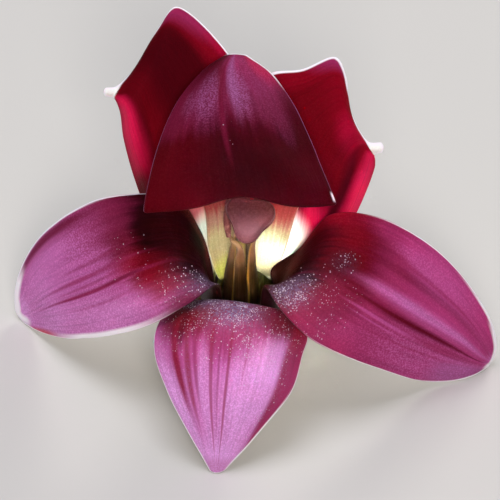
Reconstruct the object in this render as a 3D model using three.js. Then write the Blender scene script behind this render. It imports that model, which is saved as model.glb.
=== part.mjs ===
// A dark red, six-tepalled lily-like flower, cut with a short stalk and laid down.
// Units are millimetres. The flower is drawn in its own frame: x to the viewer's right,
// y up its face and z out of its mouth. The whole flower is then leaned back so that it
// rests on three tepals and on its stalk, with +Z up.
import * as THREE from 'three';
import { mergeVertices } from 'three/addons/utils/BufferGeometryUtils.js';

// Rest of the whole flower
const LEAN_BACK = 52;
const FLOOR_DROP = 33.07;
const CENTRE_SHIFT = [-1.84, -29.85];

// Walls, gaps and mesh steps
const TEPAL_THICKNESS = 1.0;
const SEAT_GAP = 0.3;
const TEPAL_STEPS = { across: 8, along: 36 };
const FILAMENT_STEPS = { round: 7, along: 16 };
const ANTHER_STEPS = { round: 7, along: 7 };
const PISTIL_STEPS = { round: 18, along: 32 };
const STALK_STEPS = { round: 16, along: 14 };
const MERGE_DISTANCE = 1e-4;
const SLOPE_STEP = 1e-3;

// Flower tube: rings from the receptacle to the throat, each with its centre,
// the angle by which its axis dips towards the viewer, and the radii of both whorls
const TUBE_RINGS = [
  { y: 10, z: -55, dip: 27, outer: 5.6, inner: 4.1 },
  { y: 3.4, z: -41.5, dip: 24, outer: 7.4, inner: 5.8 },
  { y: -2, z: -28, dip: 18, outer: 9.4, inner: 7.0 },
];
const OUTER_HALF_ANGLE = 50;
const INNER_HALF_ANGLE = 48;

// Tepals past the tube: where each stands round the tube, and its rows from the throat
// to the tip. A row holds a point on one margin, on the midrib and on the other margin;
// a folded or hooded row holds five, with one more point halfway to each margin.
const TEPALS = {
  outer_tepal_bottom: {
    whorl: 'outer',
    around: 270,
    rows: [
      [[-9.5, -7.5, -16], [0, -11, -16], [9.5, -8.5, -16]],
      [[-13.5, -2.6, -11], [-1, -2.9, -1], [11, -6, -10.5]],
      [[-17.5, -7, -9.5], [-2.4, -7, 3], [12.5, -9.5, -8.5]],
      [[-18.3, -12.5, -7], [-3.2, -12, 3.5], [11.5, -12.8, -7.5]],
      [[-15.5, -21, -4.5], [-4.2, -21, 1], [9.2, -20.5, -4]],
      [[-11, -29.5, -5], [-5, -30, -2.5], [2.2, -29.2, -5]],
      [[-6.9, -36.3, -6.8], [-5.8, -36.8, -6.5], [-4.4, -36.1, -6.8]],
    ],
  },
  outer_tepal_upper_left: {
    whorl: 'outer',
    around: 150,
    rows: [
      [[-3.8, 14.6, -24.8], [-11.5, 6, -21], [-12, -2, -19.5]],
      [[-4, 23.5, -19], [-14, 13.5, -16], [-15.5, 6, -18]],
      [[-3, 31, -17], [-8.5, 27.5, -14.5], [-13.5, 23, -13], [-17.5, 18.5, -12.5], [-19.3, 14.5, -19]],
      [[-0.5, 41.5, -16.5], [-9, 35.5, -13.5], [-15, 30, -11.5], [-19.6, 24.6, -10.5], [-22, 21.5, -18.5]],
      [[-3.6, 47.9, -17.5], [-11.2, 42.6, -14], [-17.6, 37.2, -11.6], [-22, 32, -10.2], [-24.5, 30, -17.5]],
      [[-14, 57.3, -20], [-16.8, 49.5, -15.8], [-20.2, 42.6, -12.6], [-23.4, 36.6, -10.8], [-25, 35, -16.5]],
      [[-16.7, 53.8, -19.5], [-19.1, 48.7, -16.5], [-21.8, 43, -13.8], [-24.4, 38.2, -12], [-25.5, 37, -15.5]],
      [[-21.6, 45, -16.5], [-23.2, 42.9, -15.2], [-24.6, 40.8, -14], [-25.5, 39, -13], [-26, 38.2, -15]],
      [[-25.9, 40.7, -14.4], [-26.4, 39.8, -13.6], [-26.6, 38.9, -14.4]],
      [[-28.4, 40.5, -13.3], [-28.7, 39.8, -12.9], [-28.4, 39, -13.3]],
    ],
  },
  outer_tepal_upper_right: {
    whorl: 'outer',
    around: 30,
    rows: [
      [[12, -4, -19.5], [12, 5, -21], [4.4, 14.8, -25]],
      [[15.5, 4, -18], [14.5, 12.5, -16], [5, 23.5, -19]],
      [[20.8, 12.5, -18.5], [17.8, 13.8, -12.5], [14.5, 19, -13], [10, 26, -14.5], [5, 32, -17]],
      [[23.2, 17.4, -18.5], [19.8, 17.6, -11.5], [16.5, 23.5, -12], [11.6, 32.4, -14], [4.4, 43.2, -17]],
      [[24.9, 21.5, -18], [21.4, 21.8, -11.2], [18.6, 28, -12], [15, 36.5, -14.5], [11.4, 44.5, -18]],
      [[25.9, 25, -17], [22.8, 25.6, -11.4], [21, 31, -12.8], [19.3, 38.8, -15.5], [18.2, 47.1, -19.5]],
      [[26, 26, -16], [23.4, 27, -12], [22, 31.2, -13.4], [20.6, 36.5, -15.5], [20.1, 43.6, -18.8]],
      [[26, 26.8, -15.2], [24, 28, -12.8], [23, 30.6, -14], [21.7, 33.3, -15.4], [20.5, 37, -17]],
      [[25.9, 27.4, -14.6], [25.2, 28.4, -13.6], [24.5, 29.6, -14.4]],
      [[27.6, 27.7, -13.5], [27.9, 28.6, -13.1], [27.5, 29.5, -13.5]],
    ],
  },
  inner_tepal_top: {
    whorl: 'inner',
    around: 90,
    rows: [
      [[8, 8, -19.5], [0.5, 10.7, -21.6], [-7.5, 8, -19.5]],
      [[10.5, 16, -14.5], [0.5, 18.5, -16.5], [-8.5, 16.5, -14.5]],
      [[14, 22.5, -8], [0.5, 24.5, -8], [-12.5, 22.5, -8]],
      [[15.2, 22, -3], [0, 22.5, 2.5], [-17.5, 21.5, -3]],
      [[18.2, 17.2, 0], [9.5, 16.8, 5], [-1.2, 18.9, 7], [-10.5, 16.5, 4.6], [-20.4, 15.6, 0]],
      [[17.2, 19.5, 0], [8.5, 20.4, 6.6], [-2, 22, 8.5], [-11.5, 20, 6.2], [-19.8, 20, 0]],
      [[13.8, 28.3, -2], [-4, 30, 5.5], [-17.4, 29, -2]],
      [[10.1, 36.3, -5], [-4.8, 37.5, 0.5], [-13.8, 37.4, -5]],
      [[5.4, 43, -9], [-4.4, 43.5, -6], [-8.4, 43.8, -9.5]],
      [[0, 47, -13], [-2.6, 47.2, -12.5], [-4.6, 46.5, -13]],
    ],
  },
  inner_tepal_left: {
    whorl: 'inner',
    around: 210,
    rows: [
      [[-8.2, 6.5, -18], [-8.6, -2, -17], [-4, -7, -17]],
      [[-9.6, 12.5, -13], [-8.6, 3.5, -5.5], [-5.8, 0.8, -3.5]],
      [[-14, 18.3, -10], [-13, 5.5, -2], [-11, -2.6, -2.5]],
      [[-24, 19.2, -12.5], [-20, 4, -6], [-19, -7.1, -8.5]],
      [[-34.3, 16.5, -24], [-30, 0, -18], [-29, -9.7, -20]],
      [[-43.5, 8.9, -36], [-39.5, -3, -31.5], [-38, -9.9, -33.5]],
      [[-47.3, 0, -43], [-43.9, -5, -40.9], [-43, -8.4, -41.4]],
      [[-47.2, -4.5, -45.4], [-46.4, -5.9, -45.3], [-45.2, -7, -44.4]],
    ],
  },
  inner_tepal_right: {
    whorl: 'inner',
    around: 330,
    rows: [
      [[3.5, -8, -17], [8.4, -3, -17], [7.8, 4.5, -18]],
      [[3.8, 0.5, -3.5], [8.2, 2, -4.8], [11.2, 8.3, -12]],
      [[6.6, -3.6, -1], [14, 4, -1.5], [17, 14.9, -8.5]],
      [[13, -10, -4.5], [21.5, 1, -5], [26, 14.8, -9.5]],
      [[26, -15.8, -15], [31.5, -5, -12.5], [38.6, 8, -16]],
      [[38, -18.9, -27.5], [41.7, -10.8, -22.5], [48.7, -4, -26]],
      [[46, -17.7, -30.6], [47.6, -14.4, -29.3], [51.1, -11.1, -31.5]],
      [[49.4, -15.8, -33.1], [50, -15, -33.3], [50.5, -14, -33.2]],
    ],
  },
};

// Column: its centre line from the receptacle to below the stigma, with the radii of
// the ring of filaments, of one filament and of the ovary and style along it
const COLUMN_LINE = [
  [0, 10, -55],
  [0, 3, -41],
  [-1, -1.8, -28],
  [-1, 1.8, -20],
  [-0.9, 6, -13.5],
  [-0.6, 9.6, -7],
];
const FILAMENT_RING = [2.9, 3.5, 3.15, 2.75, 2.2, 1.75];
const FILAMENT_RADIUS = [0.45, 0.6, 1.25, 1.05, 0.8, 0.5, 0.3];
const PISTIL_RADIUS = [1.9, 2.3, 1.3, 1.1, 0.9, 0.75, 0.8, 4.6, 4.4, 2.4];
const FILAMENT_COUNT = 6;
const FIRST_FILAMENT_ANGLE = 30;
const FILAMENT_TIP_GAP = 0.7;

// Stigma: style from the column to the middle of the head, how its outline is lobed,
// and the share of the pistil's length over which the lobes come in
const STIGMA_LINE = [
  [0.3, 12.4, -4.6],
  [0.7, 14, -3],
  [0.8, 14.5, -1.5],
  [0.8, 14.7, -0.7],
];
const STIGMA_LOBES = 3;
const STIGMA_LOBE_DEPTH = 0.2;
const STIGMA_TURN = 9;
const LOBES_START = 0.7;
const LOBES_FULL = 0.8;

// Anthers: lower and upper end of each, in the order of the filaments, and how much
// of the middle's width is left at the ends
const ANTHER_RADIUS = 0.75;
const ANTHER_END_WIDTH = 0.58;
const ANTHERS = [
  [[3.6, 13, -8.4], [4.3, 19.4, -9.6]],
  [[-3.4, 10.4, -4.6], [-4, 15.8, -4.4]],
  [[-3.8, 11.6, -7.6], [-3.5, 18.4, -9]],
  [[-1.6, 12.4, -9.7], [-1.5, 19.2, -10.9]],
  [[0.2, 12.8, -10.3], [0.3, 19.6, -11.5]],
  [[1.9, 12.6, -9.7], [2.2, 19.4, -10.9]],
];

// Stalk: from its cut end to the receptacle that carries the tepals
const STALK_LINE = [
  [-4, 23.6, -79.3],
  [-3, 20.7, -73.5],
  [-1, 17.2, -68],
];
const STALK_RADIUS = [2.9, 2.6, 2.7, 3.1, 5.2, 6.2];
const RECEPTACLE_BACK = [8, 3, 0];

const degrees = THREE.MathUtils.degToRad;

const material = (color, roughness) => new THREE.MeshStandardMaterial({ color, roughness, metalness: 0 });
const OUTER_TEPAL_FINISH = material('#8c1030', 0.5);
const INNER_TEPAL_FINISH = material('#7a1434', 0.45);
const FILAMENT_FINISH = material('#7a5a2c', 0.5);
const ANTHER_FINISH = material('#54201c', 0.8);
const PISTIL_FINISH = material('#775059', 0.7);
const STALK_FINISH = material('#7f9a4c', 0.55);

function vectors(points) {
  return points.map((point) => new THREE.Vector3(...point));
}

// Smooth line that meets point number i at t = i / (number of points - 1)
function smoothLine(points) {
  return new THREE.CatmullRomCurve3(points, false, 'centripetal');
}

// Value at t of a list spread evenly from t = 0 to t = 1, eased between its entries
function along(values, t) {
  const place = t * (values.length - 1);
  const index = Math.min(Math.floor(place), values.length - 2);
  const share = THREE.MathUtils.smoothstep(place - index, 0, 1);
  return THREE.MathUtils.lerp(values[index], values[index + 1], share);
}

// Geometry with only positions left and its shared vertices merged
function mergedPositions(geometry) {
  geometry.deleteAttribute('normal');
  geometry.deleteAttribute('uv');
  return mergeVertices(geometry, MERGE_DISTANCE);
}

function moveVertices(geometry, place) {
  const position = geometry.getAttribute('position');
  const vertex = new THREE.Vector3();
  for (let i = 0; i < position.count; i += 1) {
    vertex.fromBufferAttribute(position, i);
    place(vertex);
    position.setXYZ(i, vertex.x, vertex.y, vertex.z);
  }
  geometry.computeVertexNormals();
  return geometry;
}

// Point on a ring of the tube, at an angle counted from the viewer's right
function ringPoint(ring, radius, angle) {
  const rise = radius * Math.sin(degrees(angle));
  const dip = degrees(ring.dip);
  return new THREE.Vector3(
    radius * Math.cos(degrees(angle)),
    ring.y + rise * Math.cos(dip),
    ring.z + rise * Math.sin(dip),
  );
}

// Direction of the tube at a ring, towards the mouth
function ringAxis(ring) {
  return new THREE.Vector3(0, -Math.sin(degrees(ring.dip)), Math.cos(degrees(ring.dip)));
}

// The five points of a row: a row of three gets its quarter points from the parabola through them
function fullRow(row) {
  if (row.length === 5) return vectors(row);
  const [first, midrib, second] = vectors(row);
  const parabola = (side) => midrib.clone().multiplyScalar(1 - side * side)
    .addScaledVector(first, (side * (side - 1)) / 2)
    .addScaledVector(second, (side * (side + 1)) / 2);
  return [first, parabola(-0.5), midrib, parabola(0.5), second];
}

// The mid surface of a tepal: u runs across it from 0 to 1 and v from the receptacle to the tip
function tepalSurface({ whorl, around, rows }) {
  const halfAngle = whorl === 'outer' ? OUTER_HALF_ANGLE : INNER_HALF_ANGLE;
  const inTube = TUBE_RINGS.map((ring) => [-1, -0.5, 0, 0.5, 1]
    .map((side) => ringPoint(ring, ring[whorl], around + side * halfAngle)));
  const fullRows = [...inTube, ...rows.map(fullRow)];
  const lines = [0, 1, 2, 3, 4].map((line) => smoothLine(fullRows.map((row) => row[line])));
  return (u, v) => smoothLine(lines.map((line) => line.getPoint(v))).getPoint(u);
}

// A closed sheet of even thickness on both sides of a surface
function sheetGeometry(surface) {
  const box = mergedPositions(new THREE.BoxGeometry(1, 1, 1, TEPAL_STEPS.across, TEPAL_STEPS.along, 1));
  return moveVertices(box, (vertex) => {
    const u = vertex.x + 0.5;
    const v = vertex.y + 0.5;
    const acrossStep = surface(Math.min(u + SLOPE_STEP, 1), v).sub(surface(Math.max(u - SLOPE_STEP, 0), v));
    const alongStep = surface(u, Math.min(v + SLOPE_STEP, 1)).sub(surface(u, Math.max(v - SLOPE_STEP, 0)));
    const normal = acrossStep.cross(alongStep).normalize();
    const offset = vertex.z * TEPAL_THICKNESS;
    vertex.copy(surface(u, v)).addScaledVector(normal, offset);
  });
}

// A closed body round a line: radius(t, angle) is its half width there
function spindleGeometry(line, radius, steps) {
  const barrel = mergedPositions(new THREE.CylinderGeometry(1, 1, 1, steps.round, steps.along));
  return moveVertices(barrel, (vertex) => {
    const t = vertex.y + 0.5;
    const forward = line.getTangent(t);
    const side = new THREE.Vector3(1, 0, 0).addScaledVector(forward, -forward.x).normalize();
    const front = side.clone().cross(forward);
    const angle = Math.atan2(vertex.z, vertex.x);
    const reach = Math.hypot(vertex.x, vertex.z) * radius(t, angle);
    vertex.copy(line.getPoint(t))
      .addScaledVector(side, reach * Math.cos(angle))
      .addScaledVector(front, reach * Math.sin(angle));
  });
}

function mesh(name, geometry, finish) {
  const piece = new THREE.Mesh(geometry, finish);
  piece.name = name;
  return piece;
}

function tepals() {
  return Object.entries(TEPALS).map(([name, tepal]) => {
    const finish = tepal.whorl === 'outer' ? OUTER_TEPAL_FINISH : INNER_TEPAL_FINISH;
    return mesh(name, sheetGeometry(tepalSurface(tepal)), finish);
  });
}

// Centre line of the column, starting a seat gap in front of the receptacle
function columnPoints() {
  const points = vectors(COLUMN_LINE);
  points[0].addScaledVector(ringAxis(TUBE_RINGS[0]), SEAT_GAP);
  return points;
}

function filamentLine(angle, antherFoot) {
  const points = columnPoints();
  const column = smoothLine(points);
  const ring = points.map((point, index) => {
    const forward = column.getTangent(index / (points.length - 1));
    const front = new THREE.Vector3(1, 0, 0).cross(forward).normalize();
    return point.clone()
      .addScaledVector(new THREE.Vector3(1, 0, 0), FILAMENT_RING[index] * Math.cos(degrees(angle)))
      .addScaledVector(front, FILAMENT_RING[index] * Math.sin(degrees(angle)));
  });
  const lastRing = ring[ring.length - 1];
  const reach = antherFoot.clone().sub(lastRing);
  const tip = antherFoot.clone().addScaledVector(reach.clone().normalize(), -FILAMENT_TIP_GAP);
  return smoothLine([...ring, tip]);
}

function filamentsAndAnthers() {
  const pieces = [];
  for (let i = 0; i < FILAMENT_COUNT; i += 1) {
    const angle = FIRST_FILAMENT_ANGLE + (360 / FILAMENT_COUNT) * i;
    const [foot, top] = vectors(ANTHERS[i]);
    const line = filamentLine(angle, foot);
    const thickness = (t) => along(FILAMENT_RADIUS, t);
    pieces.push(mesh(`filament_${i + 1}`, spindleGeometry(line, thickness, FILAMENT_STEPS), FILAMENT_FINISH));
    const antherLine = new THREE.LineCurve3(foot, top);
    const belly = (t) => ANTHER_RADIUS * THREE.MathUtils.lerp(ANTHER_END_WIDTH, 1, Math.sin(Math.PI * t));
    pieces.push(mesh(`anther_${i + 1}`, spindleGeometry(antherLine, belly, ANTHER_STEPS), ANTHER_FINISH));
  }
  return pieces;
}

// Ovary, style and three-lobed stigma in one piece
function pistil() {
  const line = smoothLine([...columnPoints(), ...vectors(STIGMA_LINE)]);
  const radius = (t, angle) => {
    const lobed = THREE.MathUtils.smoothstep(t, LOBES_START, LOBES_FULL) * STIGMA_LOBE_DEPTH;
    return along(PISTIL_RADIUS, t) * (1 - lobed * Math.sin(STIGMA_LOBES * (angle - degrees(STIGMA_TURN))));
  };
  return mesh('pistil', spindleGeometry(line, radius, PISTIL_STEPS), PISTIL_FINISH);
}

// Stalk with the swollen receptacle at its end
function pedicel() {
  const receptacle = TUBE_RINGS[0];
  const seat = new THREE.Vector3(0, receptacle.y, receptacle.z);
  const nearSeat = RECEPTACLE_BACK
    .map((back) => seat.clone().addScaledVector(ringAxis(receptacle), -back - SEAT_GAP));
  const line = smoothLine([...vectors(STALK_LINE), ...nearSeat]);
  return mesh('pedicel', spindleGeometry(line, (t) => along(STALK_RADIUS, t), STALK_STEPS), STALK_FINISH);
}

const flower = new THREE.Group();
flower.add(...tepals(), ...filamentsAndAnthers(), pistil(), pedicel());
flower.rotation.x = degrees(LEAN_BACK);
flower.position.set(CENTRE_SHIFT[0], CENTRE_SHIFT[1], FLOOR_DROP);

const part = new THREE.Group();
part.add(flower);

export default part;
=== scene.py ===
"""A picked dark red lily-like flower, lying on a pale surface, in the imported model's frame.

The flower is drawn in its own frame, in millimetres: x to the viewer's right, y up its
face and z out of its mouth. FlowerFrame turns that into the row frame, in metres.
"""

import logging
import math
from collections.abc import Callable, Iterable, Sequence
from dataclasses import dataclass
from enum import Enum

import bmesh
import bpy
from mathutils import Matrix, Vector, kdtree, noise


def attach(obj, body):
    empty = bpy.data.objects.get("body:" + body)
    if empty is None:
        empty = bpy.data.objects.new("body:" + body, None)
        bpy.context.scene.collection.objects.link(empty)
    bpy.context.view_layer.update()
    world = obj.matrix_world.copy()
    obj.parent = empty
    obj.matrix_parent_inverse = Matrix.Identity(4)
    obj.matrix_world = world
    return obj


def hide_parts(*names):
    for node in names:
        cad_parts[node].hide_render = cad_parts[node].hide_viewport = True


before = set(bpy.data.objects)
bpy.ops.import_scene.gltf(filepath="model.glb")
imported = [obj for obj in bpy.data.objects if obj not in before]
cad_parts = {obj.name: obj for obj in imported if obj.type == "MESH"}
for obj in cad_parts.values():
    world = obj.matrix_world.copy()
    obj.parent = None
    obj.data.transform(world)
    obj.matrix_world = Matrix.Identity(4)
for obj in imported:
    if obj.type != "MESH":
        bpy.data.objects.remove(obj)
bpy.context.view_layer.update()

LOG = logging.getLogger("flower")
MM = 0.001
# The map across and along each piece, and how much of a tepal's length it counts as 1
SKIN_UV = "skin"
SKIN_LENGTH = 100
# Each point's distance from its tepal's margin, in millimetres
MARGIN = "margin_mm"
# Pigment ramps end here, in millimetres from the receptacle
LONGEST_TEPAL = 120
# The mix node's setting for colours
MIX_COLOUR = {"data_type": "RGBA"}
# Every piece is subdivided once
ROUNDING = 1
# Knots of a line that are closer than this are taken as one
SAME_PLACE = 1e-4
# Points of a tube that are closer than this, in millimetres, are welded
WELD = 1e-5
# The places of a row's five points, from one margin to the other
PLACES_ACROSS = (-1, -0.5, 0, 0.5, 1)

Point = tuple[float, float, float]
Row = tuple[Point, ...]
Socket = bpy.types.NodeSocket


class Whorl(Enum):
    """The two rings of tepals."""

    OUTER = "outer"
    INNER = "inner"


class Pigment(Enum):
    """The colours that the flower's tissues show, as sRGB hex values. Most are its own pigments; some
    also serve as painted sheen, highlights and shade, and LIT_SCARLET is painted light shining through
    a thin blade.
    """

    IVORY = "#fbf8f4"
    CREAM = "#f2eec6"
    YELLOW_GREEN = "#b4b85c"
    OLIVE = "#5c5c26"
    STRAW = "#a69970"
    BLUSH = "#b5606a"
    SALMON = "#c4545e"
    UMBER = "#2e120e"
    CRIMSON = "#c40f42"
    BLOOD = "#86041a"
    OXBLOOD = "#5c030e"
    MAROON = "#3a0209"
    BLACK_MAROON = "#170305"
    WINE = "#6a1230"
    PLUM = "#742850"
    MAUVE = "#9a5a90"
    MAGENTA = "#962c5f"
    ROSE = "#a63a72"
    PINK = "#b5508f"
    ORCHID = "#c46cae"
    LILAC = "#dc9cdc"
    BLOOM = "#716486"
    POLLEN = "#d4cfe0"
    SHELL = "#fcf2fc"
    # Painted light: brighter than the tissue, for light shining through a thin blade
    LIT_SCARLET = "#f01a56"
    GARNET = "#6a0310"
    RUBY = "#8c2450"
    FUCHSIA = "#bc3a7a"
    RUSSET = "#6e2a24"
    TAN = "#9c6f5e"
    BRICK = "#8e3434"


def linear(hex_colour: str) -> tuple[float, float, float, float]:
    """Turns an sRGB hex colour into a linear one.

    Args:
        hex_colour: The colour as "#rrggbb".

    Returns:
        Red, green, blue and an alpha of 1.
    """
    parts = [int(hex_colour[i : i + 2], 16) / 255 for i in (1, 3, 5)]
    light = [c / 12.92 if c <= 0.04045 else ((c + 0.055) / 1.055) ** 2.4 for c in parts]
    return (light[0], light[1], light[2], 1.0)


def fill_ramp(ramp: bpy.types.ColorRamp, stops: Sequence[tuple[float, str]]) -> None:
    """Sets a colour ramp's stops.

    Args:
        ramp: The ramp.
        stops: Each stop's place and sRGB hex colour, in order.
    """
    ramp.interpolation = "EASE"
    while len(ramp.elements) < len(stops):
        ramp.elements.new(0.5)
    for element, (position, colour) in zip(ramp.elements, stops):
        element.position = position
        element.color = linear(colour)


def cells_per_metre(size_mm: float) -> float:
    """Gives the scale of a pattern whose cells are this many millimetres across."""
    return 1 / (size_mm * MM)


def smooth_step(low: float, high: float, value: float) -> float:
    """Rises smoothly from 0 at low to 1 at high."""
    share = min(max((value - low) / (high - low), 0.0), 1.0)
    return share * share * (3 - 2 * share)


def along(values: Sequence[float], t: float) -> float:
    """Reads a list spread evenly from t = 0 to t = 1, eased between its entries.

    Args:
        values: The list.
        t: The place in it.

    Returns:
        The value there.
    """
    place = min(max(t, 0.0), 1.0) * (len(values) - 1)
    index = min(int(place), len(values) - 2)
    share = smooth_step(0, 1, place - index)
    return values[index] * (1 - share) + values[index + 1] * share


class SmoothLine:
    """A centripetal Catmull-Rom line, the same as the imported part's own."""

    def __init__(self, points: Iterable[Sequence[float]]) -> None:
        """Keeps the points that the line goes through, in order."""
        self.points = [Vector(point) for point in points]

    def at(self, t: float) -> Vector:
        """Finds the point at t, from 0 at the first point to 1 at the last.

        Args:
            t: The place on the line.

        Returns:
            The point.
        """
        last = len(self.points) - 1
        place = min(max(t, 0.0), 1.0) * last
        index = min(int(place), last - 1)
        near, far = self.points[index], self.points[index + 1]
        before = self.points[index - 1] if index > 0 else near * 2 - far
        after = self.points[index + 2] if index + 2 <= last else far * 2 - near
        knots = [(b - a).length ** 0.5 for a, b in ((before, near), (near, far), (far, after))]
        span = knots[1] if knots[1] > SAME_PLACE else 1.0
        first = knots[0] if knots[0] > SAME_PLACE else span
        third = knots[2] if knots[2] > SAME_PLACE else span
        leave = (near - before) / first - (far - before) / (first + span) + (far - near) / span
        arrive = (far - near) / span - (after - near) / (span + third) + (after - far) / third
        leave, arrive = leave * span, arrive * span
        w = place - index
        return (
            near
            + leave * w
            + (far * 3 - near * 3 - leave * 2 - arrive) * w**2
            + (near * 2 - far * 2 + leave + arrive) * w**3
        )

    def heading(self, t: float) -> Vector:
        """Finds the direction of the line at t."""
        step = 1e-3
        return (self.at(min(t + step, 1.0)) - self.at(max(t - step, 0.0))).normalized()


@dataclass(frozen=True)
class FlowerFrame:
    """Where the flower lies: leaned back on its lower tepals' tips and its cut stalk.

    lean_back is in degrees and shift in millimetres.
    """

    lean_back: float = 52.0
    shift: Point = (-1.84, -29.85, 33.07)

    def to_row(self) -> Matrix:
        """Gives the matrix from the flower's millimetres to the row frame's metres."""
        lean = Matrix.Rotation(math.radians(self.lean_back), 4, "X")
        return Matrix.Scale(MM, 4) @ Matrix.Translation(self.shift) @ lean


class Paint:
    """A material's node tree while it is being put together."""

    def __init__(self, name: str) -> None:
        """Starts an empty material.

        Args:
            name: Its name.
        """
        self.material = bpy.data.materials.new(name)
        self.material.use_nodes = True
        self.tree = self.material.node_tree
        self.tree.nodes.clear()

    def add(
        self,
        kind: str,
        settings: dict[str, object] | None = None,
        inputs: dict[str | int, object] | None = None,
    ) -> bpy.types.Node:
        """Adds a node with its settings and links.

        Args:
            kind: The node's type name.
            settings: Its properties.
            inputs: For a socket's name or number, the value to set or the output to link.

        Returns:
            The node.
        """
        node = self.tree.nodes.new(kind)
        for key, value in (settings or {}).items():
            setattr(node, key, value)
        for key, value in (inputs or {}).items():
            if isinstance(value, Socket):
                self.tree.links.new(value, node.inputs[key])
            else:
                node.inputs[key].default_value = value
        return node

    def tint(
        self,
        colour: Socket | tuple[float, ...],
        over: Socket | tuple[float, ...],
        pattern: Socket,
        values: tuple[float, float],
        shares: tuple[float, float],
        mask: Socket | None = None,
    ) -> Socket:
        """Lays one colour over another where a pattern allows it.

        Args:
            colour: The colour under it.
            over: The colour laid over it.
            pattern: The pattern.
            values: Two values of the pattern.
            shares: The second colour's share at those values.
            mask: Where the second colour lies, if it isn't everywhere.

        Returns:
            The mixed colour.
        """
        share = self.add(
            "ShaderNodeMapRange",
            {},
            {
                "Value": pattern,
                "From Min": values[0],
                "From Max": values[1],
                "To Min": shares[0],
                "To Max": shares[1],
            },
        ).outputs[0]
        if mask is not None:
            share = self.add(
                "ShaderNodeMath", {"operation": "MULTIPLY"}, {0: mask, 1: share}
            ).outputs[0]
        return self.add(
            "ShaderNodeMix", MIX_COLOUR, {"Factor": share, "A": colour, "B": over}
        ).outputs["Result"]

    def pigments_along(self, skin: Socket, ramp: Sequence[tuple[float, Pigment]]) -> Socket:
        """Lays pigments one after another along a tepal.

        Args:
            skin: Coordinates across and along the tepal.
            ramp: Each pigment with its place, in millimetres from the receptacle.

        Returns:
            The colour.
        """
        split = self.add("ShaderNodeSeparateXYZ", {}, {"Vector": skin})
        share_of_length = self.add(
            "ShaderNodeMath",
            {"operation": "MULTIPLY"},
            {0: split.outputs["Y"], 1: SKIN_LENGTH / LONGEST_TEPAL},
        )
        node = self.add("ShaderNodeValToRGB", {}, {"Fac": share_of_length.outputs[0]})
        fill_ramp(node.color_ramp, [(at / LONGEST_TEPAL, pigment.value) for at, pigment in ramp])
        return node.outputs["Color"]

    def finish(self, surface: Socket) -> bpy.types.Material:
        """Links the shader to the material's output."""
        self.add("ShaderNodeOutputMaterial", {}, {"Surface": surface})
        return self.material


@dataclass(frozen=True)
class Spot:
    """A soft ellipse on a tepal.

    across runs from 0 at the tepal's first margin to 1 at its second, and along is in
    millimetres from the receptacle. turn is in degrees.
    """

    across: float
    along: float
    half_width: float
    half_length: float
    turn: float = 0.0
    softness: float = 0.5

    def mask(self, paint: Paint, skin: Socket) -> Socket:
        """Draws the ellipse.

        Args:
            paint: The material.
            skin: Coordinates across and along the tepal.

        Returns:
            A mask, 1 inside and 0 outside.
        """
        local = paint.add(
            "ShaderNodeMapping",
            {"vector_type": "TEXTURE"},
            {
                "Vector": skin,
                "Location": (self.across, self.along / SKIN_LENGTH, 0),
                "Rotation": (0, 0, math.radians(self.turn)),
                "Scale": (self.half_width, self.half_length / SKIN_LENGTH, 1),
            },
        )
        reach = paint.add("ShaderNodeVectorMath", {"operation": "LENGTH"}, {0: local.outputs[0]})
        fade = paint.add(
            "ShaderNodeMapRange",
            {"interpolation_type": "SMOOTHSTEP"},
            {
                "Value": reach.outputs["Value"],
                "From Min": 1 - self.softness,
                "From Max": 1 + self.softness,
                "To Min": 1.0,
                "To Max": 0.0,
            },
        )
        return fade.outputs[0]


def stripe(start: tuple[float, float], end: tuple[float, float], half_width: float) -> Spot:
    """Gives the narrow ellipse that runs between two places on a tepal.

    Args:
        start: Across, and along in millimetres.
        end: Across, and along in millimetres.
        half_width: Half its width, as a share of the tepal's width.

    Returns:
        The ellipse.
    """
    side = end[0] - start[0]
    ahead = (end[1] - start[1]) / SKIN_LENGTH
    return Spot(
        across=(start[0] + end[0]) / 2,
        along=(start[1] + end[1]) / 2,
        half_width=half_width,
        half_length=SKIN_LENGTH * math.hypot(side, ahead) / 2,
        turn=math.degrees(math.atan2(-side, ahead)),
        softness=0.6,
    )


@dataclass(frozen=True)
class Stain:
    """A patch of colour whose border runs out along the veins: most are pigment, and some are painted
    sheen, highlights, glow or shade.

    broken is how far single cells let the colour under it show through.
    """

    pigment: Pigment
    spot: Spot
    strength: float = 1.0
    broken: float = 0.0


@dataclass(frozen=True)
class Dusting:
    """A place where shed pollen lies: thick in its middle and thinning out.

    density is the share of places that hold a grain, and film is how far a thin film of
    pollen hides the pigment.
    """

    spot: Spot
    density: float = 0.5
    film: float = 0.6


@dataclass(frozen=True)
class PaleRim:
    """A stretch of a margin where the colourless edge is wider."""

    spot: Spot
    extra_mm: float


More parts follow.
